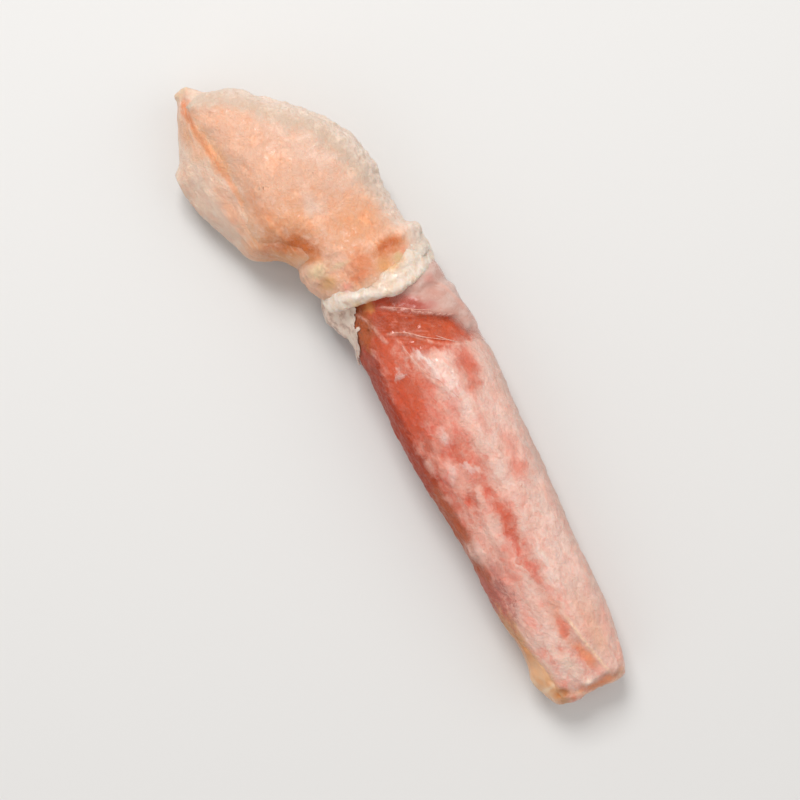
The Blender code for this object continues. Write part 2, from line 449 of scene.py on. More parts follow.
def patch_group():
    """A soft patch with a ragged edge: an oval about a centre, turned about the upright."""
    inputs = {"Place": (0.0, 0.0, 0.0), "Centre": (0.0, 0.0, 0.0), "Reach": (1.0, 1.0, 1.0)}
    inputs.update({"Turn": 0.0, "Softness": 0.5, "Grain": 0.5, "Ragged": 0.5})
    group, given, made = new_group("Soft patch", inputs, {"Mask": "Float"})
    sockets = {"Vector": given["Place"], "Location": given["Centre"], "Scale": given["Reach"]}
    sockets["Rotation"] = wire(group, "CombineXYZ", {"Z": given["Turn"]}).outputs[0]
    local = wire(group, "Mapping", sockets, vector_type="TEXTURE").outputs[0]
    away = wire(group, "VectorMath", {0: local}, operation="LENGTH").outputs["Value"]
    uneven = swung(group, given["Grain"], given["Ragged"])
    depth = plus(group, calc(group, "SUBTRACT", 1.0, away), uneven)
    group.links.new(span(group, depth, 0.0, given["Softness"]), made["Mask"])
    return group


def frost_group():
    """Ice crystals in drifts: how white they make the surface, and how high they stand."""
    inputs = {"Place": (0.0, 0.0, 0.0), "Per mm": 2.5, "Cover": 0.5}
    group, given, made = new_group("Frost", inputs, {"Veil": "Float", "Height": "Float"})
    drifts = grains(group, given["Place"], 0.28, detail=2.0)
    crystals = grains(group, given["Place"], given["Per mm"], detail=5.0, rough=0.75)
    level = plus(group, times(group, drifts, 0.45), times(group, crystals, 0.55))
    level = plus(group, level, swung(group, given["Cover"], 0.4))
    group.links.new(span(group, level, 0.44, 0.66), made["Veil"])
    group.links.new(times(group, crystals, span(group, level, 0.4, 0.6, 0.35, 1.0)), made["Height"])
    return group


def specks_group():
    """Small round specks, on a share of the surface's cells."""
    inputs = {"Place": (0.0, 0.0, 0.0), "Per mm": 1.5, "Share": 0.3, "Size": 0.3}
    group, given, made = new_group("Specks", inputs, {"Mask": "Float"})
    cells = wire(group, "TexVoronoi", {"Vector": given["Place"], "Scale": given["Per mm"]})
    chance = wire(group, "SeparateColor", {0: cells.outputs["Color"]}).outputs[0]
    chosen = calc(group, "LESS_THAN", chance, given["Share"])
    half = times(group, given["Size"], 0.4)
    speck = span(group, cells.outputs["Distance"], given["Size"], half)
    group.links.new(times(group, chosen, speck), made["Mask"])
    return group


def strands_group():
    """Muscle strands that run along the piece."""
    inputs = {"Place": (0.0, 0.0, 0.0), "Per mm": 1.6}
    group, given, made = new_group("Strands", inputs, {"Strand": "Float"})
    drawn_out = wire(group, "Mapping", {"Vector": given["Place"], "Scale": (0.14, 1.0, 1.0)}).outputs[0]
    sockets = {"Vector": drawn_out, "Scale": given["Per mm"], "Detail": 4.0, "Distortion": 0.4}
    group.links.new(wire(group, "TexNoise", sockets).outputs["Fac"], made["Strand"])
    return group


wander = wander_group()
patch = patch_group()
frost = frost_group()
specks = specks_group()
strands = strands_group()


def patched(tree, place, grain, centre, reach, turn=0.0, softness=0.6, ragged=0.9):
    """The mask of one soft patch. Its turn is in degrees."""
    values = {"Centre": centre, "Reach": reach, "Turn": math.radians(turn), "Softness": softness}
    return placed(tree, patch, Place=place, Grain=grain, Ragged=ragged, **values)["Mask"]


def painted(tree, colour, place, grain, spots):
    """Lays soft patches over a colour, one after another.

    A spot is its colour, its strength, its centre and its reach, and if need be its turn in degrees,
    its softness and its raggedness.
    """
    for paint, strength, *spot in spots:
        colour = laid(tree, colour, patched(tree, place, grain, *spot), strength, paint)
    return colour


def new_finish(name, wandering=3.0):
    """A material, its node tree and its shader, and each place in millimetres: true, and wandering."""
    material = bpy.data.materials.new(name)
    material.use_nodes = True
    tree = material.node_tree
    place = wire(tree, "TexCoord").outputs["Object"]
    place = wire(tree, "VectorMath", {0: place, "Scale": 1.0 / MM}, operation="SCALE").outputs[0]
    moved = placed(tree, wander, Place=place, Amount=wandering)["Place"]
    return material, tree, tree.nodes["Principled BSDF"], place, moved


def moist(tree, shader, colour, roughness, height, rise, softness, coat):
    """Gives the shader its colour, roughness and fine relief, and the soft wet look of flesh."""
    tree.links.new(colour, shader.inputs["Base Color"])
    tree.links.new(roughness, shader.inputs["Roughness"])
    bump = wire(tree, "Bump", {"Height": height, "Distance": rise * MM, "Strength": 0.8})
    tree.links.new(bump.outputs[0], shader.inputs["Normal"])
    shader.inputs["Subsurface Weight"].default_value = softness
    shader.inputs["Subsurface Radius"].default_value = (1.0, 0.5, 0.35)
    shader.inputs["Subsurface Scale"].default_value = 1.2 * MM
    shader.inputs["Specular IOR Level"].default_value = 0.35
    shader.inputs["Coat Roughness"].default_value = 0.14
    tree.links.new(coat, shader.inputs["Coat Weight"])


def dressed(piece, finish, node):
    """Puts the finish on the piece, hangs it on the root body, and hides the CAD solid that it stands for."""
    piece.data.materials.append(finish)
    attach(piece, "root")
    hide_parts(node)


FLUSH = (1.0, 0.64, 0.60)
MOTTLE_RED = (0.95, 0.76, 0.72)
CREASE_BROWN = (0.78, 0.31, 0.16)
SKIN_LIGHT = (0.80, 0.27, 0.19)
SKIN_DARK = (0.40, 0.045, 0.014)
TORN_PINK = (0.90, 0.48, 0.37)
FOLD_HIGHLIGHT = (0.97, 0.62, 0.44)
DARK_BRICK = (0.43, 0.095, 0.035)
PALE_PINK = (0.83, 0.48, 0.385)
SALMON = (0.83, 0.48, 0.36)
WHITE_FLESH = (0.86, 0.60, 0.51)
GREY_PINK = (0.64, 0.44, 0.37)
FROST_AND_GLARE_WHITE = (0.95, 0.78, 0.71)
ROSE = (0.73, 0.21, 0.135)
RED = (0.64, 0.092, 0.034)
BRICK = (0.37, 0.032, 0.004)
RUST = (0.44, 0.10, 0.030)
ORANGE_RED = (0.82, 0.27, 0.13)
TAN = (0.68, 0.34, 0.17)
TIP_CREAM = (0.80, 0.50, 0.33)
BRUISE_AND_SHADE = (0.48, 0.13, 0.10)

LEG_PAINT = (
    # Grey-pink along the far edge: its own translucent flesh, darkened with the painted shadow of a
    # neighbouring leg.
    (GREY_PINK, 0.85, (22.0, 18.0, 8.0), (48.0, 4.2, 10.0), 0.0, 0.8),
    (WHITE_FLESH, 0.80, (36.0, 13.2, 12.0), (22.0, 3.6, 8.0), 0.0, 0.9, 1.2),
    (WHITE_FLESH, 0.80, (12.5, 13.2, 13.0), (6.0, 2.8, 8.0), 0.0, 0.8, 1.6),
    (ROSE, 0.90, (9.0, 3.6, 11.0), (23.0, 6.6, 13.0), 0.0, 0.8, 1.3),
    (ROSE, 0.70, (27.0, 0.4, 9.0), (18.0, 4.6, 11.0), 0.0, 0.8, 1.6),
    (RED, 0.97, (-9.0, 7.0, 11.0), (7.0, 14.0, 16.0), -26.0, 0.30, 0.7),
    (RED, 0.95, (2.0, 1.2, 8.0), (14.0, 4.4, 12.0), -4.0, 0.5, 0.9),
    (RED, 0.60, (20.0, 0.6, 8.0), (9.0, 2.6, 10.0), 0.0, 0.7, 1.4),
    (ROSE, 0.35, (18.0, 13.0, 12.0), (8.0, 2.4, 8.0), 0.0, 0.8, 1.2),
    (ROSE, 0.60, (21.0, 12.8, 14.0), (2.4, 2.2, 6.0), 20.0, 0.8, 1.8),
    (ROSE, 0.50, (11.0, 10.8, 14.0), (4.0, 1.3, 6.0), 0.0, 0.8, 2.0),
    (ROSE, 0.76, (17.5, 6.8, 14.0), (9.0, 2.6, 6.0), 0.0, 0.8, 1.8),
    (ROSE, 0.85, (27.5, 7.5, 14.0), (11.0, 2.3, 6.0), 0.0, 0.9, 1.8),
    (RED, 0.72, (28.5, 7.5, 14.0), (7.6, 1.7, 6.0), 0.0, 0.9, 2.0),
    (ROSE, 0.70, (38.0, 7.8, 14.0), (5.6, 1.6, 6.0), 0.0, 0.9, 2.0),
    (ORANGE_RED, 0.60, (46.4, 8.3, 14.0), (6.6, 1.8, 6.0), 6.0, 0.9, 1.6),
    (ORANGE_RED, 0.80, (53.6, 9.4, 12.0), (5.0, 1.7, 7.0), 16.0, 0.9, 1.2),
    (RED, 0.65, (22.5, 3.8, 14.0), (2.6, 1.2, 6.0), 0.0, 0.8, 2.0),
    ((0.70, 0.15, 0.08), 0.80, (14.4, 5.0, 14.0), (3.0, 2.6, 6.0), 30.0, 0.8, 2.0),
    ((0.62, 0.25, 0.195), 0.65, (34.2, 2.4, 12.0), (4.4, 1.6, 8.0), 0.0, 0.9, 1.8),
    (SALMON, 0.90, (49.0, 12.6, 12.0), (9.0, 3.4, 8.0), 0.0, 0.9),
    (ROSE, 0.42, (34.6, 4.4, 13.0), (7.6, 2.2, 7.0), 0.0, 0.9, 2.0),
    (ROSE, 0.36, (45.0, 4.6, 13.0), (5.0, 1.7, 7.0), 8.0, 0.9, 2.0),
    (ROSE, 0.30, (16.0, 13.2, 14.0), (4.0, 2.2, 6.0), 0.0, 0.9, 1.8),
    # Painted highlight: a patch of white glare off the wet glaze on the top.
    (FROST_AND_GLARE_WHITE, 0.30, (3.0, 8.4, 15.0), (7.6, 2.4, 6.0), 15.0, 1.0, 2.6),
    (WHITE_FLESH, 0.70, (30.8, 0.6, 13.0), (3.2, 2.0, 8.0), 0.0, 0.9, 1.8),
    (FROST_AND_GLARE_WHITE, 0.45, (17.0, 2.8, 14.0), (3.4, 1.7, 8.0), 0.0, 1.0, 2.4),
    (FROST_AND_GLARE_WHITE, 0.50, (11.0, 3.8, 14.0), (2.2, 1.5, 8.0), 0.0, 1.0, 1.8),
    (WHITE_FLESH, 0.60, (48.0, 5.0, 13.0), (8.0, 1.7, 8.0), 8.0, 0.8, 1.8),
    (WHITE_FLESH, 0.55, (27.0, 10.2, 15.0), (12.0, 1.0, 6.0), 0.0, 0.8, 1.6),
    (TAN, 0.95, (45.0, -0.4, 7.0), (12.0, 2.6, 9.0), 3.0, 0.8, 0.8),
    (TIP_CREAM, 0.80, (55.0, 1.6, 7.0), (7.0, 3.2, 9.0), 10.0, 0.8, 0.8),
    # Pale border above the tip skin: whitish flesh, painted lighter as a soft sheen.
    (WHITE_FLESH, 0.80, (55.4, 5.4, 12.0), (5.6, 1.8, 8.0), 28.0, 0.9, 1.2),
    ((0.80, 0.38, 0.23), 0.90, (59.9, 9.8, 9.0), (1.5, 4.8, 12.0), 4.0, 0.8, 0.9),
)
LEG_TIP_PAINT = (
    ((0.85, 0.49, 0.35), 0.70, (52.0, 12.9, 12.0), (5.0, 2.0, 8.0), 4.0, 0.9, 1.2),
    ((0.84, 0.31, 0.165), 0.85, (54.2, 9.9, 12.0), (3.0, 1.3, 8.0), 16.0, 0.8, 1.4),
    ((0.80, 0.215, 0.13), 0.80, (48.6, 8.1, 12.0), (2.4, 1.1, 8.0), -6.0, 0.8, 1.6),
    # Pale border above the tip skin: whitish flesh, painted lighter as a soft sheen.
    ((0.87, 0.62, 0.50), 0.70, (53.6, 6.3, 12.0), (5.0, 1.5, 8.0), 20.0, 0.9, 1.6),
    ((0.84, 0.32, 0.165), 0.90, (59.9, 9.6, 9.0), (1.2, 3.2, 12.0), 0.0, 0.7, 1.0),
    ((0.64, 0.32, 0.21), 0.80, (59.4, 13.6, 9.0), (1.3, 1.3, 12.0), 0.0, 0.7, 1.0),
    # Painted highlight: a white glint on the raised lip beside the tip crease.
    ((0.92, 0.68, 0.56), 0.85, (58.5, 8.1, 9.0), (0.9, 1.4, 12.0), 0.0, 0.8, 1.2),
    ((0.62, 0.21, 0.06), 0.90, (58.4, 3.4, 9.0), (1.3, 1.7, 12.0), 0.0, 0.7, 1.0),
    ((0.74, 0.24, 0.13), 0.80, (60.0, 4.8, 9.0), (0.9, 0.9, 12.0), 0.0, 0.8, 1.0),
)
# White streaks on the top: partly frost and pale fibre, partly painted glare highlights off the wet glaze.
FROST_AND_GLARE_STREAKS = (
    ((0.94, 0.71, 0.63), 0.70, (3.4, 8.4, 15.0), (6.4, 1.5, 6.0), 16.0, 1.0, 3.4),
    (FROST_AND_GLARE_WHITE, 0.60, (-2.4, 6.6, 15.0), (3.0, 0.8, 6.0), 24.0, 0.8, 2.6),
    (FROST_AND_GLARE_WHITE, 0.45, (17.6, 5.6, 15.0), (2.6, 0.9, 6.0), 50.0, 0.8, 2.6),
    (FROST_AND_GLARE_WHITE, 0.40, (37.0, 10.0, 15.0), (7.0, 0.9, 6.0), 2.0, 0.8, 2.6),
)
LEG_START_PAINT = (
    ((0.58, 0.10, 0.035), 0.95, (-6.4, 8.8, 13.0), (4.4, 10.0, 10.0), -27.0, 0.7, 0.8),
    ((0.48, 0.065, 0.016), 0.95, (-9.8, 5.0, 13.0), (3.4, 8.0, 10.0), -27.0, 0.7, 0.7),
    ((0.67, 0.118, 0.050), 0.95, (0.6, 3.8, 13.0), (7.0, 3.2, 8.0), 0.0, 0.8, 1.2),
    ((0.64, 0.115, 0.050), 0.90, (-4.4, 2.2, 12.0), (5.0, 3.4, 10.0), 0.0, 0.8, 1.0),
    (RED, 0.80, (3.0, 0.6, 10.0), (15.0, 3.4, 14.0), -3.0, 0.8, 0.9),
    (RED, 0.85, (1.6, 12.6, 14.0), (6.6, 3.0, 8.0), -10.0, 1.0, 1.6),
    ((0.68, 0.155, 0.085), 0.72, (4.4, 12.2, 14.0), (3.4, 2.2, 8.0), 0.0, 0.9, 1.8),
    ((0.42, 0.085, 0.014), 0.95, (-10.6, -0.6, 12.0), (4.6, 3.0, 11.0), 10.0, 0.7, 0.8),
    ((0.52, 0.125, 0.070), 0.70, (12.0, 0.8, 11.0), (5.0, 1.6, 9.0), 0.0, 0.9, 1.4),
    ((0.82, 0.33, 0.10), 0.85, (-13.5, 2.0, 12.0), (1.2, 1.8, 9.0), -20.0, 0.9, 1.2),
)
# Painted shade along the leg's near lower flank: each row gives where along the leg, from and to in
# millimetres, this colour takes over, and the colour.
EDGE_SHADE_COLOURS = (
    (14.0, 26.0, DARK_BRICK),
    (30.0, 40.0, BRUISE_AND_SHADE),
    (39.0, 46.0, TAN),
    (-7.0, -10.0, RUST),
)

finish, tree, shader, place, wandering = new_finish("peeled_leg_meat")
strand = placed(tree, strands, Place=place, Per_mm=1.5)["Strand"]
ice = placed(tree, frost, Place=place, Per_mm=2.4, Cover=0.40)
marbling = grains(tree, wandering, 0.5, detail=6.0, rough=0.68, stretch=(0.65, 1.0, 1.0))
blotches = grains(tree, wandering, 0.42, detail=4.0, rough=0.6, stretch=(0.7, 1.0, 0.8))
mottle = grains(tree, wandering, 1.3, detail=4.0, rough=0.6, stretch=(0.7, 1.0, 1.0))
colour = mixed(tree, span(tree, marbling, 0.38, 0.66), PALE_PINK, WHITE_FLESH)
colour = painted(tree, colour, wandering, marbling, LEG_PAINT)
across = wire(tree, "SeparateXYZ", {0: place})
flushed = span(tree, blotches, 0.53, 0.36, 0.0, 0.66)
flushed = times(tree, flushed, span(tree, across.outputs["Y"], 13.0, 8.0, 0.34, 1.0))
colour = mixed(tree, flushed, colour, FLUSH, "MULTIPLY")
colour = drifted(tree, colour, blotches, 0.54, 0.74, 0.30, WHITE_FLESH)
colour = laid(tree, colour, kept(tree, "crease"), span(tree, mottle, 0.34, 0.6, 0.4, 0.9), CREASE_BROWN)
colour = drifted(tree, colour, mottle, 0.50, 0.34, 0.42, MOTTLE_RED, "MULTIPLY")
colour = drifted(tree, colour, mottle, 0.58, 0.76, 0.22, WHITE_FLESH)
colour = painted(tree, colour, wandering, marbling, LEG_START_PAINT)
slanting = wire(tree, "Mapping", {"Vector": place, "Rotation": (0.0, 0.0, math.radians(27.0))}).outputs[0]
drawn = grains(tree, slanting, 1.6, detail=4.0, rough=0.6, stretch=(1.0, 0.10, 1.0))
leg_start = patched(tree, wandering, marbling, (-7.6, 6.6, 13.0), (5.4, 12.0, 10.0), -27.0, 0.8, 0.7)
colour = laid(tree, colour, leg_start, span(tree, drawn, 0.52, 0.68, 0.0, 0.50), SKIN_LIGHT)
colour = laid(tree, colour, leg_start, span(tree, drawn, 0.48, 0.34, 0.0, 0.60), SKIN_DARK)
colour = painted(tree, colour, place, marbling, LEG_TIP_PAINT)
streaky = grains(tree, place, 1.3, detail=5.0, rough=0.7, stretch=(0.35, 1.2, 1.0))
# Painted highlights: streaks of glare, laid in frost white, with some real frost and fibre.
colour = painted(tree, colour, wandering, streaky, FROST_AND_GLARE_STREAKS)
# Painted highlight: a small white glint near the leg's start.
glint = patched(tree, wandering, mottle, (-1.2, 1.8, 13.0), (1.3, 1.0, 6.0), 0.0, 1.0, 2.2)
colour = laid(tree, colour, glint, 0.62, FROST_AND_GLARE_WHITE)
# Painted shade: the near lower flank, which turns under towards the table, darkened to brick and brown over
# its own deep red.
near_shade = plus(tree, kept(tree, "near_shade"), swung(tree, marbling, 1.1))
lengthways = plus(tree, across.outputs["X"], swung(tree, blotches, 26.0))
edge_shade_colour = BRICK
for start, end, paint in EDGE_SHADE_COLOURS:
    edge_shade_colour = mixed(tree, span(tree, lengthways, start, end), edge_shade_colour, paint)
colour = drifted(tree, colour, near_shade, 0.25, 0.80, 0.95, edge_shade_colour)
pale_spot = (WHITE_FLESH, 0.60, (31.0, 0.4, 13.0), (3.6, 2.4, 8.0), 0.0, 1.0, 2.0)
colour = painted(tree, colour, wandering, marbling, [pale_spot])
bruised = patched(tree, wandering, blotches, (38.8, 1.5, 12.0), (6.2, 2.8, 8.0), 0.0, 0.5, 1.6)
colour = laid(tree, colour, bruised, span(tree, mottle, 0.40, 0.58, 0.30, 0.80), BRUISE_AND_SHADE)
colour = drifted(tree, colour, strand, 0.60, 0.78, 0.10, WHITE_FLESH)
torn_line = kept(tree, "torn_line")
colour = laid(tree, colour, torn_line, span(tree, mottle, 0.38, 0.62, 0.15, 0.60), TORN_PINK)
# Painted highlight: a pale fold line near the tip, and the tip's pale end rim, made brighter along their
# crests.
colour = laid(tree, colour, kept(tree, "bright_line"), span(tree, streaky, 0.30, 0.55, 0.45, 1.0), FOLD_HIGHLIGHT)
colour = laid(tree, colour, ice["Veil"], 0.10, FROST_AND_GLARE_WHITE)
fine = grains(tree, place, 2.4, detail=4.0, rough=0.65)
height = plus(tree, times(tree, strand, 0.25), times(tree, ice["Height"], 0.7))
height = plus(tree, height, times(tree, fine, 0.7))
wet = times(tree, span(tree, mottle, 0.46, 0.60, 0.05, 0.60), span(tree, across.outputs["Z"], 9.0, 13.5))
dull = span(tree, ice["Veil"], 0.0, 1.0, 0.34, 0.52)
moist(tree, shader, colour, dull, height, 0.26, 0.30, wet)
shader.inputs["Specular IOR Level"].default_value = 0.22
points = points_of(leg)
# Where the painted shade lies: close to the near outline, and above the table.
away = points[:, 1] - np.interp(points[:, 0], *zip(*NEAR_OUTLINE))
stored(leg, "near_shade", (1.0 - eased(away, 0.2, 3.9)) * eased(points[:, 2], 0.3, 2.0))
torn_lines = np.max([nearness(points, path, 0.5, fade=20.0) for path in TORN_LINES], axis=0)
stored(leg, "torn_line", torn_lines * upper(leg))
stored(leg, "crease", nearness(points, TIP_CREASE, 1.0, fade=3.0) * upper(leg))
# Where the painted highlight lies: along the fold line near the tip, and more faintly along the tip's end
# rim.
bright = nearness(points, BRIGHT_LINE, 0.5, fade=5.0)
bright = np.maximum(bright, 0.7 * nearness(points, TIP_EDGE, 0.8, fade=6.0))
stored(leg, "bright_line", bright * upper(leg))
dressed(leg, finish, "leg_meat")


# ---- The flesh in the base joint ----
# The pale muscle that fills the joint. It shows along the side where the shell is cut away, where
# it swells out level with the edge of the shell.
JOINT_STATIONS = (-59.9, -57.1, -53.0, -48.5, -43.5, -38.5, -33.5, -29.7, -25.9)
BARE_SWELL = (0.7, 0.7, 0.6, 0.6, 0.0, -0.6, -0.4, 0.5, 1.2)
COVERED_SWELL = 0.75
FLESH_VOXEL = 0.50 * MM

JOINT_CORNERS = (
    ((-29.6, -12.0), (4.0, 5.0), (0.5, -1.0)),
    ((-46.6, -17.0), (3.0, 3.6), (0.0, -1.6)),
    ((-21.5, -5.0), (7.0, 6.0), (0.0, -1.0)),
    ((-60.8, -9.4), (3.0, 3.0), (-0.5, 1.0)),
    ((-60.8, -12.4), (3.0, 3.0), (-0.3, -0.9)),
)

TIP_LUMPS = (
    ((-59.6, -9.8), (1.3, 1.1), 0.55),
    ((-59.9, -11.8), (1.1, 1.1), 0.50),
    ((-58.3, -10.9), (1.0, 1.0), -0.35),
)

flesh = copied("joint_meat", "base_joint_meat")
rounded(flesh, 2)
pulled(flesh, JOINT_CORNERS)
bare = eased(-normals_of(flesh)[:, 1], 0.1, 0.5)
along = points_of(flesh)[:, 0]
swollen(flesh, COVERED_SWELL + bare * (np.interp(along, JOINT_STATIONS, BARE_SWELL) - COVERED_SWELL))
points = points_of(flesh)
points[:, 0] = np.where(points[:, 0] < -57.0, -57.0 + 0.8 * (points[:, 0] + 57.0), points[:, 0])
put_points(flesh, points)
evened(flesh, FLESH_VOXEL)
smoothed(flesh, 4)
rounded(flesh, 1)
dimpled(flesh, TIP_LUMPS)
relief(flesh, 5.0, 0.6, raised=0.3, seed=5)
relief(flesh, 1.6, 0.35, raised=0.4, stretch=(2.0, 1.0, 1.0), turn=10.0, seed=6)
relief(flesh, 0.6, 0.12, seed=7)
settled(flesh)

SIDE_FLESH = (0.82, 0.52, 0.38)
SIDE_CREAM = (0.88, 0.65, 0.50)
SIDE_PINK = (0.78, 0.42, 0.31)
SEAM_PEACH = (0.88, 0.47, 0.30)
SIDE_APRICOT = (0.82, 0.40, 0.21)
SIDE_OCHRE = (0.66, 0.17, 0.030)
BAND_ORANGE = (0.94, 0.44, 0.23)
SEAM_LINE = (
    ((0.74, 0.24, 0.085), 0.80, (-54.4, -11.3, 12.0), (4.2, 0.8, 12.0), 0.0, 0.9, 1.0),
    ((0.80, 0.29, 0.115), 0.75, (-47.6, -10.6, 12.0), (6.4, 0.7, 12.0), 7.0, 0.9, 1.2),
    ((0.90, 0.38, 0.18), 0.80, (-40.4, -9.4, 12.0), (5.0, 0.8, 12.0), 9.0, 0.9, 1.2),
)

finish, tree, shader, place, wandering = new_finish("base_joint_meat")
strand = placed(tree, strands, Place=place, Per_mm=1.2)["Strand"]
ice = placed(tree, frost, Place=place, Per_mm=2.6, Cover=0.5)
marbling = grains(tree, wandering, 0.4, detail=6.0, rough=0.68, stretch=(0.6, 1.0, 1.0))
colour = mixed(tree, span(tree, marbling, 0.36, 0.66), SIDE_FLESH, SIDE_CREAM)
spots = (
    (SIDE_CREAM, 0.75, (-46.0, -14.6, 6.0), (8.0, 2.6, 7.0), 0.0, 0.9, 1.4),
    (SIDE_PINK, 0.60, (-38.0, -12.0, 9.0), (8.0, 1.8, 4.0), 8.0, 0.9, 1.6),
    (SIDE_APRICOT, 0.90, (-51.5, -12.4, 8.0), (7.0, 2.6, 10.0), 6.0, 0.9, 1.0),
    # The orange band along the crest: its own orange, painted lighter on its slope against the shade there.
    (BAND_ORANGE, 0.97, (-48.0, -10.2, 13.0), (12.0, 1.7, 12.0), 9.0, 0.8, 0.9),
    (SEAM_PEACH, 0.90, (-37.0, -11.4, 12.0), (9.0, 1.6, 12.0), 4.0, 0.8, 1.0),
    ((0.88, 0.47, 0.28), 0.90, (-31.0, -9.6, 10.0), (5.0, 7.0, 14.0), 0.0, 0.8, 1.0),
    (SIDE_OCHRE, 0.97, (-28.2, -5.4, 9.0), (3.4, 8.0, 16.0), -24.0, 0.8, 0.8),
    ((0.80, 0.36, 0.14), 0.80, (-26.6, -6.6, 9.0), (2.0, 7.0, 16.0), -24.0, 0.8, 1.0),
    (SIDE_CREAM, 0.60, (-33.4, -12.8, 8.0), (2.6, 1.2, 8.0), 30.0, 0.9, 1.2),
    ((0.86, 0.60, 0.40), 0.95, (-60.4, -10.8, 8.0), (2.4, 2.6, 12.0), 0.0, 0.8, 0.8),
    ((0.88, 0.30, 0.13), 0.97, (-56.8, -11.2, 11.0), (2.8, 1.5, 12.0), 8.0, 0.8, 0.9),
    ((0.88, 0.40, 0.19), 0.80, (-31.4, -10.6, 9.0), (2.0, 2.0, 12.0), 0.0, 0.8, 1.0),
    ((0.90, 0.42, 0.22), 0.85, (-40.0, -9.6, 12.0), (6.0, 1.1, 12.0), 4.0, 0.8, 1.0),
)
colour = painted(tree, colour, wandering, marbling, spots)
colour = painted(tree, colour, place, marbling, SEAM_LINE)
colour = drifted(tree, colour, strand, 0.50, 0.72, 0.35, SIDE_CREAM)
colour = laid(tree, colour, ice["Veil"], 0.15, FROST_AND_GLARE_WHITE)
height = plus(tree, times(tree, strand, 0.5), times(tree, ice["Height"], 0.9))
dull = span(tree, ice["Veil"], 0.0, 1.0, 0.42, 0.60)
wet = span(tree, marbling, 0.4, 0.6, 0.05, 0.3)
moist(tree, shader, colour, dull, height, 0.30, 0.35, wet)
dressed(flesh, finish, "joint_meat")


# ---- The shell of the base joint ----
# A thin skin of shell, orange along its ridge and towards the rim and peach over its crown. Cream
# curd clings to it along the far side, where it turns under. Its cut edge thins out to nothing.
SHELL_WALL = 0.8
FAR_SIDE = (
    (-60.6, -10.8),
    (-58.3, -5.0),
    (-55.0, 0.0),
    (-50.0, 4.5),
    (-46.0, 9.0),
    (-40.0, 11.8),
    (-33.0, 13.5),
    (-26.0, 13.2),
    (-20.0, 15.7),
    (-16.0, 13.5),
)
RIDGE = ((-58.6, -11.2), (-50.0, -10.3), (-45.0, -9.7), (-38.0, -9.0), (-31.0, -8.0))
SHELL_LUMPS = (
    ((-21.0, -4.4), (1.6, 1.6), 0.40),
    ((-33.0, 1.0), (4.0, 3.0), 0.30),
    ((-47.0, -1.0), (6.0, 4.0), -0.30),
    ((-38.0, -5.0), (6.0, 3.0), -0.25),
    ((-26.0, 3.0), (4.0, 6.0), -0.35),
    ((-22.6, -2.8), (2.4, 2.8), 0.60),
    ((-22.6, 14.2), (3.0, 3.2), 0.90),
    ((-43.0, 6.0), (6.0, 3.0), 0.30),
)


def drop_faces(piece, unwanted):
    """Deletes the faces that are marked."""
    for kind in (piece.data.vertices, piece.data.edges):
        kind.foreach_set("select", np.zeros(len(kind), dtype=bool))
    piece.data.polygons.foreach_set("select", np.array(unwanted, dtype=bool))
    only(piece)
    bpy.context.tool_settings.mesh_select_mode = (False, False, True)
    bpy.ops.object.mode_set(mode="EDIT")
    bpy.ops.mesh.delete(type="FACE")
    bpy.ops.object.mode_set(mode="OBJECT")


def surface_of(obj):
    """The object's surface, as something that can be asked for its nearest place."""
    corners = [vertex.co for vertex in obj.data.vertices]
    return BVHTree.FromPolygons(corners, [face.vertices for face in obj.data.polygons])


def outer_wall(piece, *wrapped):
    """Keeps only the outer wall of a skin: the faces that look away from what it is wrapped round."""
    inner = [surface_of(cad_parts[node]) for node in wrapped]
    unwanted = []
    for face in piece.data.polygons:
        hits = [surface.find_nearest(face.center) for surface in inner]
        place, normal, number, distance = min(hits, key=lambda hit: hit[3])
        unwanted.append((face.center - place).dot(face.normal) < 0.4 * distance)
    drop_faces(piece, unwanted)


def edge_distance(piece):
    """How far each point lies from the sheet's nearest open edge, in millimetres."""
    mesh = piece.data
    edges = np.empty(len(mesh.loops), dtype=int)
    mesh.loops.foreach_get("edge_index", edges)
    ends = np.empty(len(mesh.edges) * 2, dtype=int)
    mesh.edges.foreach_get("vertices", ends)
    open_ends = ends.reshape(-1, 2)[np.bincount(edges, minlength=len(mesh.edges)) == 1]
    points = points_of(piece)
    border = np.unique(open_ends)
    tree = kdtree.KDTree(len(border))
    for number in border:
        tree.insert(points[number], int(number))
    tree.balance()
    return np.array([tree.find(point)[2] for point in points])


def torn(piece, depth, grain, where=None, seed=0):
    """Tears the sheet's open edge, by up to depth, into notches about as long as grain."""
    away = edge_distance(piece)
    reach = np.ones(len(away)) if where is None else where
    points = points_of(piece) / grain + seed * 7.3
    rough = np.array([0.5 + 0.9 * noise.fractal(Vector(point), 1.0, 2.0, 3) for point in points])
    gone = away < depth * rough * reach
    drop_faces(piece, [any(gone[number] for number in face.vertices) for face in piece.data.polygons])
    edited(piece, bpy.ops.mesh.delete_loose)
    smoothed(piece, 4, where=1.0 - eased(edge_distance(piece), 0.0, 0.8))


def clung(piece, base, gap, hold):
    """Draws each point towards the surface below it, by its own share of the way, and leaves its own gap."""
    gap = np.broadcast_to(gap, len(piece.data.vertices))
    points = points_of(piece)
    for number in np.flatnonzero(hold > 0.001):
        place, normal, face, distance = base.find_nearest(Vector(points[number]) * MM)
        target = np.array(place + normal * gap[number] * MM) / MM
        points[number] += (target - points[number]) * hold[number]
    put_points(piece, points)


def mouth_of(piece):
    """1 at the joint's mouth, under the rim, and 0 over the rest of the joint."""
    return eased(points_of(piece)[:, 0], -22.5, -19.5)


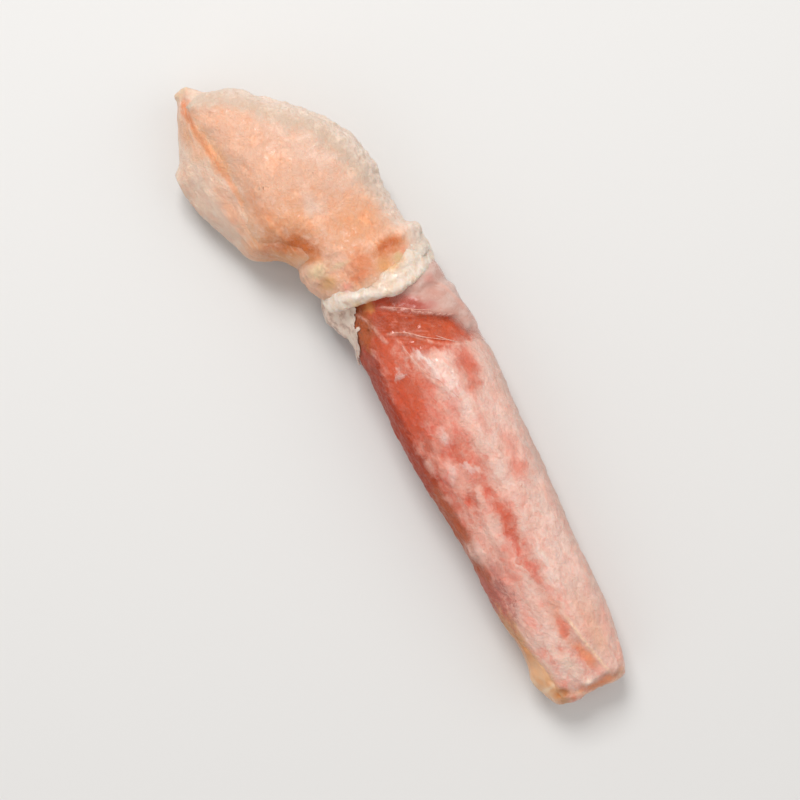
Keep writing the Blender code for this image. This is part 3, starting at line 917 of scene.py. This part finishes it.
def thickened(piece, wall, edge_share, thin_from):
    """Gives the sheet its wall, on its inner side, thinner towards its open edges."""
    weighted(piece, "wall", eased(edge_distance(piece), 0.0, thin_from))
    groups = {"vertex_group": "wall", "thickness_vertex_group": edge_share}
    worked(piece, "SOLIDIFY", thickness=wall * MM, offset=-1.0, **groups)
    piece.vertex_groups.clear()


shell = copied("joint_shell", "base_joint_shell")
outer_wall(shell, "joint_meat", "leg_meat")
rounded(shell, 3)
drop_faces(shell, [face.center.x < -59.0 * MM for face in shell.data.polygons])
torn(shell, 0.5, 2.2, where=1.0 - mouth_of(shell), seed=1)
away = edge_distance(shell)
points = points_of(shell)
points[:, 0] += 1.5 * eased(points[:, 0], -22.5, -18.5)
crest = upper(shell) * eased(-points[:, 1], 3.5, 7.0) * (1.0 - eased(points[:, 0], -32.0, -27.0))
points[:, 1] -= 1.9 * (1.0 - eased(away, 0.0, 5.0)) * crest
put_points(shell, points)
pulled(shell, JOINT_CORNERS)
scored(shell, RIDGE, 1.8, -0.20)
dimpled(shell, SHELL_LUMPS)
margin = nearness(points_of(shell), FAR_SIDE, 5.0, fade=50.0)
neck = eased(points_of(shell)[:, 0], -26.0, -22.0)
crusty = np.maximum(margin * 0.6, neck * 0.8)
relief(shell, 6.0, 0.7, raised=0.4, seed=8)
relief(shell, 2.2, 1.0, raised=0.5, where=margin * (1.0 - 0.7 * neck), seed=9)
relief(shell, 1.2, 0.75, raised=0.6, where=crusty, seed=10)
relief(shell, 1.5, 0.42, raised=0.55, basis="VORONOI_F1", where=margin * (1.0 - 0.8 * neck), seed=21)
hold = (1.0 - eased(away, 4.0, 8.0)) * (1.0 - eased(points_of(shell)[:, 0], -25.5, -23.0))
gap = 1.16 * eased(away, 0.0, 5.0) - 0.16
for again in range(2):
    clung(shell, surface_of(flesh), gap, hold)
    smoothed(shell, 8, where=hold * (1.0 - eased(away, 1.5, 4.0)))
clung(shell, surface_of(flesh), gap, 0.8 * hold)
relief(shell, 1.3, 0.30, where=eased(away, 0.6, 3.0), seed=11)
relief(shell, 0.6, 0.14, where=eased(away, 0.3, 1.5), seed=12)
thickened(shell, SHELL_WALL, 0.12, 4.0)
settled(shell, crisp=True)

GRIT_BROWN = (0.30, 0.10, 0.04)
SHELL_ORANGE = (0.84, 0.33, 0.15)
SHELL_APRICOT = (0.84, 0.385, 0.195)
SHELL_PEACH = (0.88, 0.50, 0.34)
SHELL_BLUSH = (0.88, 0.585, 0.45)
SHELL_OCHRE = (0.68, 0.20, 0.048)
CREAM = (0.68, 0.475, 0.34)
WHITE_CREAM = (0.73, 0.54, 0.415)
EDGE_WHITE = (0.89, 0.72, 0.61)

SHELL_PAINT = (
    (SHELL_BLUSH, 0.85, (-42.0, 4.6, 15.0), (15.0, 5.0, 12.0), 30.0, 0.9),
    (SHELL_BLUSH, 0.70, (-35.0, 9.6, 13.0), (8.0, 3.0, 12.0), 8.0, 0.9),
    (SHELL_APRICOT, 0.90, (-31.0, -4.4, 15.0), (9.0, 8.0, 12.0), 40.0, 0.9),
    (SHELL_APRICOT, 0.90, (-26.8, 6.5, 15.0), (6.5, 8.0, 10.0), 0.0, 0.9),
    # The orange band along the crest: its own orange, painted lighter on its slope against the shade there.
    (BAND_ORANGE, 0.97, (-48.0, -10.2, 13.0), (12.0, 1.7, 12.0), 9.0, 0.8, 0.9),
    (SHELL_ORANGE, 0.50, (-36.0, -7.2, 14.0), (6.0, 1.8, 8.0), 6.0, 0.9, 1.4),
    (SEAM_PEACH, 0.90, (-37.0, -11.4, 12.0), (9.0, 1.6, 12.0), 4.0, 0.8, 1.0),
    (SHELL_ORANGE, 0.75, (-28.4, -4.4, 14.0), (5.5, 3.0, 10.0), 38.0, 0.9, 1.4),
    (SHELL_OCHRE, 0.97, (-27.8, -4.8, 11.0), (3.4, 8.0, 16.0), -24.0, 0.7, 0.8),
    (SHELL_BLUSH, 0.90, (-32.2, 1.0, 16.0), (3.6, 2.6, 8.0), 20.0, 0.9, 1.4),
    (SHELL_APRICOT, 0.70, (-32.0, -11.0, 9.0), (3.4, 2.6, 8.0), 30.0, 0.9),
)
NECK_PAINT = (
    ((0.77, 0.25, 0.10), 0.95, (-20.0, 3.8, 14.0), (4.4, 4.4, 8.0), 0.0, 0.8, 1.0),
    ((0.79, 0.35, 0.14), 0.95, (-18.8, 7.4, 14.0), (2.6, 2.6, 9.0), 0.0, 0.8, 1.0),
    ((0.76, 0.50, 0.25), 0.85, (-18.8, 10.2, 14.0), (1.9, 1.5, 9.0), 0.0, 0.8, 1.2),
    ((0.72, 0.215, 0.05), 0.97, (-21.3, 9.4, 14.0), (2.2, 4.6, 9.0), 4.0, 0.7, 0.9),
    ((0.60, 0.13, 0.020), 0.90, (-21.5, 9.4, 14.0), (1.2, 3.2, 9.0), 4.0, 0.8, 1.2),
    ((0.68, 0.19, 0.045), 0.80, (-20.3, 9.8, 14.0), (0.7, 2.2, 9.0), -8.0, 0.8, 1.2),
    ((0.86, 0.29, 0.14), 0.85, (-19.6, 11.4, 14.0), (1.1, 1.1, 9.0), 0.0, 0.8, 1.2),
    ((0.76, 0.21, 0.08), 0.70, (-18.6, 3.0, 14.0), (1.3, 2.6, 8.0), 0.0, 0.8, 1.4),
    ((0.60, 0.125, 0.014), 0.85, (-27.7, -4.6, 11.0), (2.2, 5.0, 16.0), -24.0, 0.8, 0.9),
    (SHELL_OCHRE, 0.80, (-24.8, -3.0, 12.0), (1.6, 4.0, 8.0), -20.0, 0.9, 1.0),
    ((0.70, 0.36, 0.13), 0.80, (-20.0, -2.2, 12.0), (1.8, 2.4, 12.0), 0.0, 0.8, 1.0),
    ((0.80, 0.58, 0.36), 0.95, (-22.6, -2.8, 12.0), (2.0, 3.0, 14.0), 0.0, 0.8, 1.0),
    ((0.86, 0.60, 0.38), 0.85, (-21.8, 1.0, 14.0), (0.8, 2.6, 8.0), 0.0, 0.8, 1.2),
    ((0.86, 0.30, 0.22), 0.80, (-18.1, 0.2, 12.0), (1.1, 1.5, 12.0), 0.0, 0.8, 1.2),
    (EDGE_WHITE, 0.95, (-20.0, 15.0, 11.0), (5.4, 2.6, 14.0), 0.0, 0.6, 0.9),
    (EDGE_WHITE, 0.85, (-18.2, 12.4, 12.0), (2.0, 1.8, 14.0), 0.0, 0.7, 0.9),
    (CREAM, 0.90, (-60.0, -10.4, 9.0), (1.8, 2.2, 12.0), 0.0, 0.8),
    ((0.88, 0.30, 0.13), 0.97, (-56.8, -11.0, 11.0), (2.8, 1.5, 12.0), 8.0, 0.8),
)

finish, tree, shader, place, wandering = new_finish("base_joint_shell", wandering=2.4)
ice = placed(tree, frost, Place=place, Per_mm=2.6, Cover=0.5)
mottle = grains(tree, wandering, 0.6, detail=6.0, rough=0.7)
blotches = grains(tree, wandering, 0.55, detail=4.0, rough=0.65)
colour = painted(tree, SHELL_PEACH, wandering, mottle, SHELL_PAINT)
colour = drifted(tree, colour, blotches, 0.52, 0.70, 0.40, SHELL_BLUSH)
colour = drifted(tree, colour, blotches, 0.49, 0.32, 0.52, (1.0, 0.80, 0.66), "MULTIPLY")
fine = grains(tree, place, 1.5, detail=4.0, rough=0.65)
colour = drifted(tree, colour, fine, 0.49, 0.36, 0.40, (0.95, 0.82, 0.74), "MULTIPLY")
colour = drifted(tree, colour, fine, 0.55, 0.72, 0.30, SHELL_BLUSH)
colour = painted(tree, colour, place, mottle, NECK_PAINT + SEAM_LINE)
freckles = placed(tree, specks, Place=place, Per_mm=1.9, Share=0.5, Size=0.42)["Mask"]
colour = laid(tree, colour, freckles, 0.14, SHELL_ORANGE)
curd = kept(tree, "curd")
curd = span(tree, plus(tree, curd, swung(tree, mottle, 0.9)), 0.12, 0.62)
colour = mixed(tree, curd, colour, mixed(tree, span(tree, mottle, 0.34, 0.56), CREAM, WHITE_CREAM))
# The far margin's outer slope, whitened: its own pale crumbs, painted lighter where the slope turns from the
# light.
colour = laid(tree, colour, kept(tree, "far_edge"), span(tree, fine, 0.36, 0.56, 0.25, 0.95), EDGE_WHITE)
colour = laid(tree, colour, ice["Veil"], 0.14, FROST_AND_GLARE_WHITE)
grit = placed(tree, specks, Place=place, Per_mm=0.34, Share=0.4, Size=0.06)["Mask"]
colour = laid(tree, colour, grit, 0.45, GRIT_BROWN)
height = plus(tree, ice["Height"], times(tree, fine, 0.8))
dull = span(tree, ice["Veil"], 0.0, 1.0, 0.44, 0.64)
wet = span(tree, fine, 0.45, 0.6, 0.0, 0.22)
moist(tree, shader, colour, dull, height, 0.26, 0.25, wet)
points = points_of(shell)
under = 1.0 - eased(points[:, 2], 1.5, 5.0)
spread = np.interp(points[:, 0], (-60.0, -50.0, -40.0, -33.0, -26.0, -20.0), (1.0, 1.0, 1.0, 0.75, 0.35, 0.4))
stored(shell, "curd", np.maximum(nearness(points, FAR_SIDE, 7.4, fade=50.0) * spread, under * 0.9))
# Where the far margin is painted lighter: its outer few millimetres.
stored(shell, "far_edge", nearness(points, FAR_SIDE, 3.4, fade=50.0))
dressed(shell, finish, "joint_shell")


# ---- The pale rim ----
# The gristly lip at the joint's mouth: a thick, lumpy, cream-white ring. It closes on the shell
# behind it and on the torn skin in front.
RIM_VOXEL = 0.40 * MM
RIM_LIP = ((-17.0, 14.4), (-14.8, 11.8), (-14.4, 7.0), (-15.4, 2.6), (-16.8, -2.0))
RIM_VALLEY = ((-16.6, 11.6), (-16.8, 8.6), (-17.2, 4.6), (-17.8, 0.6))

rim = copied("collar_rim", "pale_rim")
evened(rim, RIM_VOXEL)
smoothed(rim, 4)
points = points_of(rim)
normals = normals_of(rim)
far = eased(points[:, 1], 7.0, 12.0)
middle = np.exp(-(((points[:, 1] - 6.5) / 3.5) ** 2)) * eased(points[:, 2], 9.0, 14.0)
near = 1.0 - eased(points[:, 1], -1.0, 3.0)
swollen(rim, 0.15 - 0.50 * far - 0.15 * near)
points = points_of(rim)
low = np.maximum(1.0 - eased(points[:, 2], 6.0, 12.0), near)
closing = 0.6 + 2.9 * eased(points[:, 1], 9.0, 14.0) + 0.3 * low
points[:, 0] -= closing * eased(-normals[:, 0], -0.2, 0.6)
points[:, 1] += 0.6 * far * low - 1.2 * near
points[:, 0] += (0.9 * middle + 0.9 * eased(points[:, 1], 5.0, 10.0)) * eased(normals[:, 0], -0.1, 0.6)
put_points(rim, points)
evened(rim, RIM_VOXEL)
smoothed(rim, 4)
rounded(rim, 1)
scored(rim, RIM_VALLEY, 1.1, 0.30)
scored(rim, RIM_LIP, 1.2, -0.40)
relief(rim, 3.6, 0.8, raised=0.45, seed=13)
relief(rim, 1.3, 0.30, raised=0.55, basis="VORONOI_F1", seed=14)
relief(rim, 0.8, 0.22, seed=15)
settled(rim)

RIM_CREAM = (0.87, 0.66, 0.50)
RIM_WHITE = (0.93, 0.79, 0.68)
RIM_FROST = (0.95, 0.86, 0.78)

finish, tree, shader, place, wandering = new_finish("pale_rim", wandering=2.0)
ice = placed(tree, frost, Place=place, Per_mm=2.6, Cover=0.55)
mottle = grains(tree, wandering, 0.8, detail=6.0, rough=0.7)
colour = mixed(tree, span(tree, mottle, 0.36, 0.60), RIM_CREAM, RIM_WHITE)
spots = (
    ((0.81, 0.52, 0.33), 0.75, (-16.8, 4.6, 15.0), (2.0, 2.2, 8.0), 0.0, 0.9, 1.6),
    ((0.80, 0.46, 0.22), 0.90, (-18.4, 8.6, 15.0), (2.2, 3.0, 8.0), 0.0, 0.8, 1.4),
    (SHELL_APRICOT, 0.92, (-18.2, 4.2, 15.0), (1.9, 3.4, 8.0), 0.0, 0.8, 1.4),
    ((0.84, 0.30, 0.24), 0.80, (-17.9, 0.2, 13.0), (1.2, 1.5, 8.0), 0.0, 0.9, 1.2),
    ((0.84, 0.36, 0.13), 0.85, (-14.2, 2.6, 13.0), (0.8, 1.4, 8.0), 0.0, 0.8, 1.2),
    ((0.80, 0.54, 0.27), 0.75, (-14.8, 0.4, 13.0), (0.9, 1.3, 8.0), 0.0, 0.8, 1.2),
)
colour = painted(tree, colour, place, mottle, spots)
colour = laid(tree, colour, ice["Veil"], 0.2, RIM_FROST)
height = plus(tree, ice["Height"], times(tree, mottle, 0.5))
dull = span(tree, ice["Veil"], 0.0, 1.0, 0.38, 0.6)
wet = span(tree, mottle, 0.45, 0.6, 0.1, 0.4)
moist(tree, shader, colour, dull, height, 0.30, 0.35, wet)
dressed(rim, finish, "collar_rim")


# ---- The torn skin ----
# A thin clear film that tore from the shell when the leg was drawn. It hangs from the rim, slack on
# the far side, and clings to the meat in slanting folds as far as its torn edge.
FILM_WALL = 0.16
FILM_GAP = 0.22
FILM_FOLDS = (
    ((-12.2, 4.4), (-10.6, 7.0), (-8.6, 10.4), (-6.9, 13.4), (-6.2, 15.6)),
    ((-13.2, 3.0), (-11.4, 6.4), (-9.8, 9.2)),
    ((-14.2, 12.6), (-11.0, 15.0), (-6.0, 16.6)),
)

film = copied("joint_membrane", "torn_skin")
outer_wall(film, "leg_meat")
rounded(film, 3)
pulled(film, FLANKS)
torn(film, 1.3, 1.6, where=eased(points_of(film)[:, 0], -14.6, -12.6), seed=2)
away = edge_distance(film)
points = points_of(film)
hold = (1.0 - eased(away, 1.0, 5.0)) * eased(points[:, 0], -14.0, -11.5)
hold = np.maximum(hold, 0.90 * (1.0 - eased(points[:, 1], 8.0, 14.5)) * eased(points[:, 0], -14.6, -12.4))
hold = np.maximum(hold, (1.0 - eased(points[:, 1], 6.0, 9.0)) * eased(points[:, 0], -17.0, -15.4))
clung(film, surface_of(leg), FILM_GAP, hold)
points = points_of(film)
points[:, 0] -= 1.3 * (1.0 - eased(points[:, 0], -15.4, -13.0))
put_points(film, points)
for path in FILM_FOLDS:
    scored(film, path, 0.50, -0.20)
relief(film, 0.9, 0.26, raised=0.7, stretch=(1.0, 8.0, 4.0), turn=-27.0, where=eased(away, 0.0, 1.2), seed=16)
loose = eased(points[:, 1], 7.0, 12.0) * eased(away, 0.4, 3.0)
relief(film, 3.0, 0.6, raised=0.7, stretch=(1.0, 2.5, 2.0), turn=-27.0, where=loose, seed=17)
frayed = (1.0 - eased(edge_distance(film), 0.2, 2.6)) * eased(points_of(film)[:, 0], -9.0, -5.0)
stored(film, "frayed", frayed)
thickened(film, FILM_WALL, 0.5, 0.6)
settled(film, crisp=True)

FILM_PINK = (0.72, 0.36, 0.28)
FILM_GREY = (0.80, 0.55, 0.47)
FILM_RED = (0.60, 0.12, 0.065)
FILM_WHITE = (0.88, 0.48, 0.38)

finish, tree, shader, place, wandering = new_finish("torn_skin", wandering=1.6)
mottle = grains(tree, wandering, 0.7, detail=6.0, rough=0.65, stretch=(1.0, 0.5, 0.5))
fold = kept(tree, "fold")
slack = kept(tree, "slack")
colour = mixed(tree, times(tree, slack, span(tree, mottle, 0.4, 0.62, 0.4, 1.0)), FILM_PINK, FILM_GREY)
spots = (
    ((0.58, 0.105, 0.070), 0.97, (-10.8, 8.4, 15.0), (2.2, 5.4, 9.0), -27.0, 0.8, 1.4),
    ((0.76, 0.27, 0.21), 0.60, (-13.4, 13.2, 15.0), (1.4, 1.4, 9.0), 0.0, 0.9, 1.4),
    (FILM_RED, 0.60, (-8.4, 4.0, 15.0), (4.0, 5.0, 8.0), -27.0, 0.9, 1.4),
    (FILM_PINK, 0.70, (-11.4, 12.6, 14.0), (1.4, 2.0, 8.0), -27.0, 0.9, 1.4),
)
colour = painted(tree, colour, wandering, mottle, spots)
colour = laid(tree, colour, fold, 0.65, FILM_WHITE)
pleat = grains(tree, place, 1.1)
opacity = plus(tree, times(tree, slack, 0.62), span(tree, mottle, 0.50, 0.7, 0.0, 0.08))
opacity = calc(tree, "MAXIMUM", opacity, times(tree, fold, span(tree, pleat, 0.34, 0.54, 0.25, 0.65)))
whole = calc(tree, "SUBTRACT", 1.0, times(tree, kept(tree, "frayed"), 0.7))
opacity = times(tree, opacity, whole)
tree.links.new(opacity, shader.inputs["Alpha"])
dull = span(tree, mottle, 0.4, 0.6, 0.25, 0.4)
wet = span(tree, mottle, 0.4, 0.6, 0.3, 0.6)
moist(tree, shader, colour, dull, mottle, 0.25, 0.0, wet)
points = points_of(film)
folds = np.zeros(len(points))
for path in FILM_FOLDS:
    folds = np.maximum(folds, nearness(points, path, 0.40) * upper(film))
slackness = eased(points[:, 1] - 1.7 * (points[:, 0] + 10.0), 7.0, 9.6) * eased(points[:, 1], 4.0, 11.0)
# Beside the rim the film is made more opaque and pale grey-pink, painted lighter against the shade of the
# hollow there.
beside_rim = (1.0 - eased(points[:, 0], -15.2, -12.4)) * eased(points[:, 1], 3.0, 11.0)
slackness = np.maximum(slackness, 1.2 * beside_rim)
slackness = np.maximum(slackness, eased(points[:, 1] - 0.25 * points[:, 0], 14.4, 17.0))
stored(film, "fold", folds)
stored(film, "slack", slackness)
dressed(film, finish, "joint_membrane")


# ---- The slack strip of skin ----
# A loose band of the same film, pinkish white and crumpled, that runs from the rim's near end along
# the leg's near side and ends in a point.
STRIP_UPPER = (
    (-18.2, 1.0, 14.2),
    (-16.0, 0.4, 14.2),
    (-13.0, 0.1, 13.2),
    (-9.5, -1.2, 11.6),
    (-5.0, -2.6, 9.2),
)
STRIP_LOWER = (
    (-18.8, -4.4, 3.4),
    (-16.5, -5.5, 3.6),
    (-13.5, -6.0, 3.8),
    (-9.5, -5.4, 4.6),
    (-5.0, -3.9, 6.6),
)
STRIP_WALL = 0.25

bpy.ops.object.select_all(action="DESELECT")
bpy.ops.mesh.primitive_grid_add(x_subdivisions=90, y_subdivisions=48, size=1.0)
strip = bpy.context.object
strip.name = strip.data.name = "slack_skin_strip"
share = points_of(strip) * MM + 0.5
top_edge = curved(STRIP_UPPER, 20)
low_edge = curved(STRIP_LOWER, 20)
steps = np.arange(len(top_edge))
points = np.empty_like(share)
for axis in range(3):
    top = np.interp(share[:, 0] * steps[-1], steps, top_edge[:, axis])
    low = np.interp(share[:, 0] * steps[-1], steps, low_edge[:, axis])
    points[:, axis] = top + (low - top) * share[:, 1]
points[:, 1] -= 0.7 * np.sin(math.pi * share[:, 1]) + 0.35 * np.sin(9.0 * share[:, 1] + 4.0 * share[:, 0])
put_points(strip, points)
edited(strip, bpy.ops.mesh.normals_make_consistent)
if normals_of(strip)[:, 1].mean() > 0.0:
    edited(strip, bpy.ops.mesh.flip_normals)
along = points_of(strip)[:, 0]
top_hold = (1.0 - eased(share[:, 1], 0.05, 0.50)) * eased(along, -17.5, -14.5)
clung(strip, surface_of(leg), 0.40, np.maximum(0.95 * top_hold, 0.92 * eased(along, -15.5, -8.0)))
relief(strip, 2.2, 0.7, stretch=(2.5, 1.0, 1.0), turn=-20.0, seed=18)
relief(strip, 0.8, 0.22, stretch=(2.0, 1.0, 1.0), turn=15.0, seed=19)
torn(strip, 1.2, 1.5, where=eased(points_of(strip)[:, 0], -17.0, -13.0), seed=3)
thickened(strip, STRIP_WALL, 0.4, 0.6)
settled(strip, crisp=True)

STRIP_PINK = (0.74, 0.50, 0.40)
STRIP_WHITE = (0.84, 0.66, 0.55)

finish, tree, shader, place, wandering = new_finish("slack_skin_strip", wandering=1.6)
mottle = grains(tree, wandering, 0.5, detail=5.0, rough=0.6)
colour = mixed(tree, span(tree, mottle, 0.36, 0.60), STRIP_PINK, STRIP_WHITE)
thin = span(tree, wire(tree, "SeparateXYZ", {0: place}).outputs["X"], -13.0, -5.5, 1.0, 0.45)
tree.links.new(times(tree, thin, span(tree, mottle, 0.32, 0.52, 0.65, 1.0)), shader.inputs["Alpha"])
dull = span(tree, mottle, 0.4, 0.6, 0.3, 0.45)
wet = span(tree, mottle, 0.4, 0.6, 0.1, 0.4)
moist(tree, shader, colour, dull, mottle, 0.30, 0.2, wet)
dressed(strip, finish, "joint_membrane")


# ---- The skin at the tip ----
# A thin tan skin left on the near side of the tip, laid over the meat like a flap, with a torn edge.
FLAP_EDGE = ((40.0, -1.4), (44.0, 0.6), (48.0, 2.2), (52.0, 3.7), (56.0, 4.7), (59.0, 5.0), (62.0, 4.8))
FLAP_PULLS = (((55.8, -0.4), (4.2, 3.2), (0.0, -1.1)),)
FLAP_LIFT = 0.10
FLAP_WALL = 0.14

flap = twin_of(leg, "tip_skin")
points = points_of(flap)
border = np.interp(points[:, 0], *zip(*FLAP_EDGE))
outside = (points[:, 1] > border) | (points[:, 0] < 40.5) | (points[:, 2] < 1.6)
drop_faces(flap, [any(outside[number] for number in face.vertices) for face in flap.data.polygons])
edited(flap, bpy.ops.mesh.delete_loose)
torn(flap, 0.8, 1.5, seed=4)
smoothed(flap, 12, factor=0.6)
swollen(flap, FLAP_LIFT)
away = edge_distance(flap)
clung(flap, surface_of(leg), eased(away, 0.0, 2.4) * 0.26 - 0.13, 1.0 - eased(away, 1.2, 2.6))
pulled(flap, FLAP_PULLS)
relief(flap, 3.0, 0.30, raised=0.8, stretch=(3.0, 1.0, 1.0), turn=10.0, where=eased(away, 0.8, 2.4), seed=20)
stored(flap, "worn", 1.0 - eased(edge_distance(flap), 0.1, 1.8))
thickened(flap, FLAP_WALL, 0.3, 0.8)
settled(flap, crisp=True)

FLAP_TAN = (0.87, 0.42, 0.21)
FLAP_PALE = (0.90, 0.53, 0.32)

finish, tree, shader, place, wandering = new_finish("tip_skin", wandering=1.6)
mottle = grains(tree, wandering, 0.4, detail=4.0, rough=0.55, stretch=(0.4, 1.0, 1.0))
colour = mixed(tree, span(tree, mottle, 0.36, 0.62), FLAP_TAN, FLAP_PALE)
spots = (
    ((0.62, 0.235, 0.085), 0.92, (47.0, 0.5, 8.0), (8.0, 2.4, 9.0), 8.0, 0.9, 1.2),
    ((0.66, 0.21, 0.055), 0.95, (58.3, 3.2, 8.0), (1.3, 1.9, 8.0), 0.0, 0.8, 0.9),
    ((0.78, 0.34, 0.17), 0.85, (60.2, 2.6, 8.0), (1.5, 1.9, 8.0), 0.0, 0.8, 0.9),
    # Painted highlight: a narrow cream streak on the skin.
    ((0.92, 0.62, 0.42), 0.80, (56.8, 1.4, 8.0), (0.6, 2.6, 8.0), 16.0, 0.9, 1.0),
)
colour = painted(tree, colour, place, mottle, spots)
worn = plus(tree, kept(tree, "worn"), swung(tree, mottle, 0.8))
tree.links.new(span(tree, worn, 0.80, 0.25, 0.0, 0.90), shader.inputs["Alpha"])
dull = span(tree, mottle, 0.4, 0.6, 0.3, 0.45)
wet = span(tree, mottle, 0.4, 0.6, 0.1, 0.5)
moist(tree, shader, colour, dull, mottle, 0.25, 0.2, wet)
dressed(flap, finish, "leg_meat")


# ---- The torn threads ----
# Fine pale threads of gristle, pulled out at the torn skin and left lying on the red meat.
THREADS = (
    (0.06, ((-2.6, 12.4), (-3.9, 10.2), (-5.4, 7.9), (-7.0, 6.0), (-8.0, 4.0))),
    (0.06, ((-5.5, 4.3), (-2.9, 4.9), (0.5, 6.0), (2.1, 7.2), (6.2, 9.0))),
    (0.05, ((-12.2, 5.0), (-11.2, 6.8), (-9.8, 9.0), (-8.8, 11.2))),
    (0.06, ((-1.4, 14.2), (-2.6, 12.2), (-4.6, 10.0))),
)

covers = [surface_of(leg), surface_of(film)]
strings = []
for radius, path in THREADS:
    line = curved(path, 8)
    made = bpy.data.curves.new("thread", "CURVE")
    made.dimensions = "3D"
    made.bevel_depth = radius * MM
    made.bevel_resolution = 2
    made.use_fill_caps = True
    spline = made.splines.new("POLY")
    spline.points.add(len(line) - 1)
    for number, (point, (x, y)) in enumerate(zip(spline.points, line)):
        hits = [cover.ray_cast(Vector((x, y, 30.0)) * MM, Vector((0.0, 0.0, -1.0)))[0] for cover in covers]
        height = max(hit.z for hit in hits if hit is not None)
        point.co = (x * MM, y * MM, height + 0.3 * radius * MM, 1.0)
        point.radius = 0.35 + 0.65 * math.sin(math.pi * (number + 0.5) / len(line)) ** 0.5
    thread = bpy.data.objects.new("thread", made)
    bpy.context.scene.collection.objects.link(thread)
    strings.append(thread)
only(*strings)
bpy.ops.object.convert(target="MESH")
only(*strings)
bpy.ops.object.join()
threads = bpy.context.object
threads.name = threads.data.name = "torn_threads"
edited(threads, close_points_merged, bpy.ops.mesh.normals_make_consistent)
settled(threads)

THREAD_RED = (0.76, 0.30, 0.21)
THREAD_PALE = (0.90, 0.54, 0.43)

finish, tree, shader, place, wandering = new_finish("torn_threads", wandering=1.0)
mottle = grains(tree, wandering, 0.9, detail=4.0)
colour = mixed(tree, span(tree, mottle, 0.4, 0.6), THREAD_RED, THREAD_PALE)
dull = span(tree, mottle, 0.4, 0.6, 0.3, 0.45)
wet = span(tree, mottle, 0.4, 0.6, 0.2, 0.5)
moist(tree, shader, colour, dull, mottle, 0.1, 0.3, wet)
dressed(threads, finish, "joint_membrane")


# ---- The room: floor, lights and camera ----
# A plain pale table top under a soft studio light that falls from beyond the joint's far side.
bpy.ops.object.select_all(action="DESELECT")
bpy.ops.mesh.primitive_plane_add(size=3.0, location=(0.0, 0.0, -0.02 * MM))
floor = bpy.context.object
floor.name = "floor"
finish = bpy.data.materials.new("floor")
finish.use_nodes = True
shader = finish.node_tree.nodes["Principled BSDF"]
shader.inputs["Base Color"].default_value = (0.70, 0.69, 0.675, 1.0)
shader.inputs["Roughness"].default_value = 0.7
floor.data.materials.append(finish)

world = bpy.data.worlds.new("studio")
bpy.context.scene.world = world
world.use_nodes = True
glow = world.node_tree.nodes["Background"].inputs
glow["Color"].default_value = (1.0, 0.985, 0.97, 1.0)
glow["Strength"].default_value = 0.50

VIEW_TURN = math.radians(64.4)


def soft_light(name, across, up, height, size, watts):
    """A square light, placed as the camera sees it: so far to the right, up the picture, and above."""
    light = bpy.data.objects.new(name, bpy.data.lights.new(name, "AREA"))
    light.data.size = size
    light.data.energy = watts
    x = across * math.cos(VIEW_TURN) - up * math.sin(VIEW_TURN)
    y = across * math.sin(VIEW_TURN) + up * math.cos(VIEW_TURN)
    light.location = (x, y, height)
    light.rotation_mode = "QUATERNION"
    light.rotation_quaternion = light.location.to_track_quat("Z", "Y")
    bpy.context.scene.collection.objects.link(light)


soft_light("key", -0.12, 0.40, 0.55, 0.28, 3.25)
soft_light("right fill", 0.45, 0.05, 0.45, 0.5, 0.7)
soft_light("near fill", -0.36, -0.30, 0.42, 0.5, 0.45)

camera = bpy.data.objects.new("camera", bpy.data.cameras.new("camera"))
camera.data.lens = 100.0
camera.data.sensor_width = 36.0
camera.location = (2.4 * MM, 0.13 * MM, 380.0 * MM)
camera.rotation_euler = (0.0, 0.0, VIEW_TURN)
bpy.context.scene.collection.objects.link(camera)
bpy.context.scene.camera = camera
bpy.context.scene.view_settings.view_transform = "Standard"
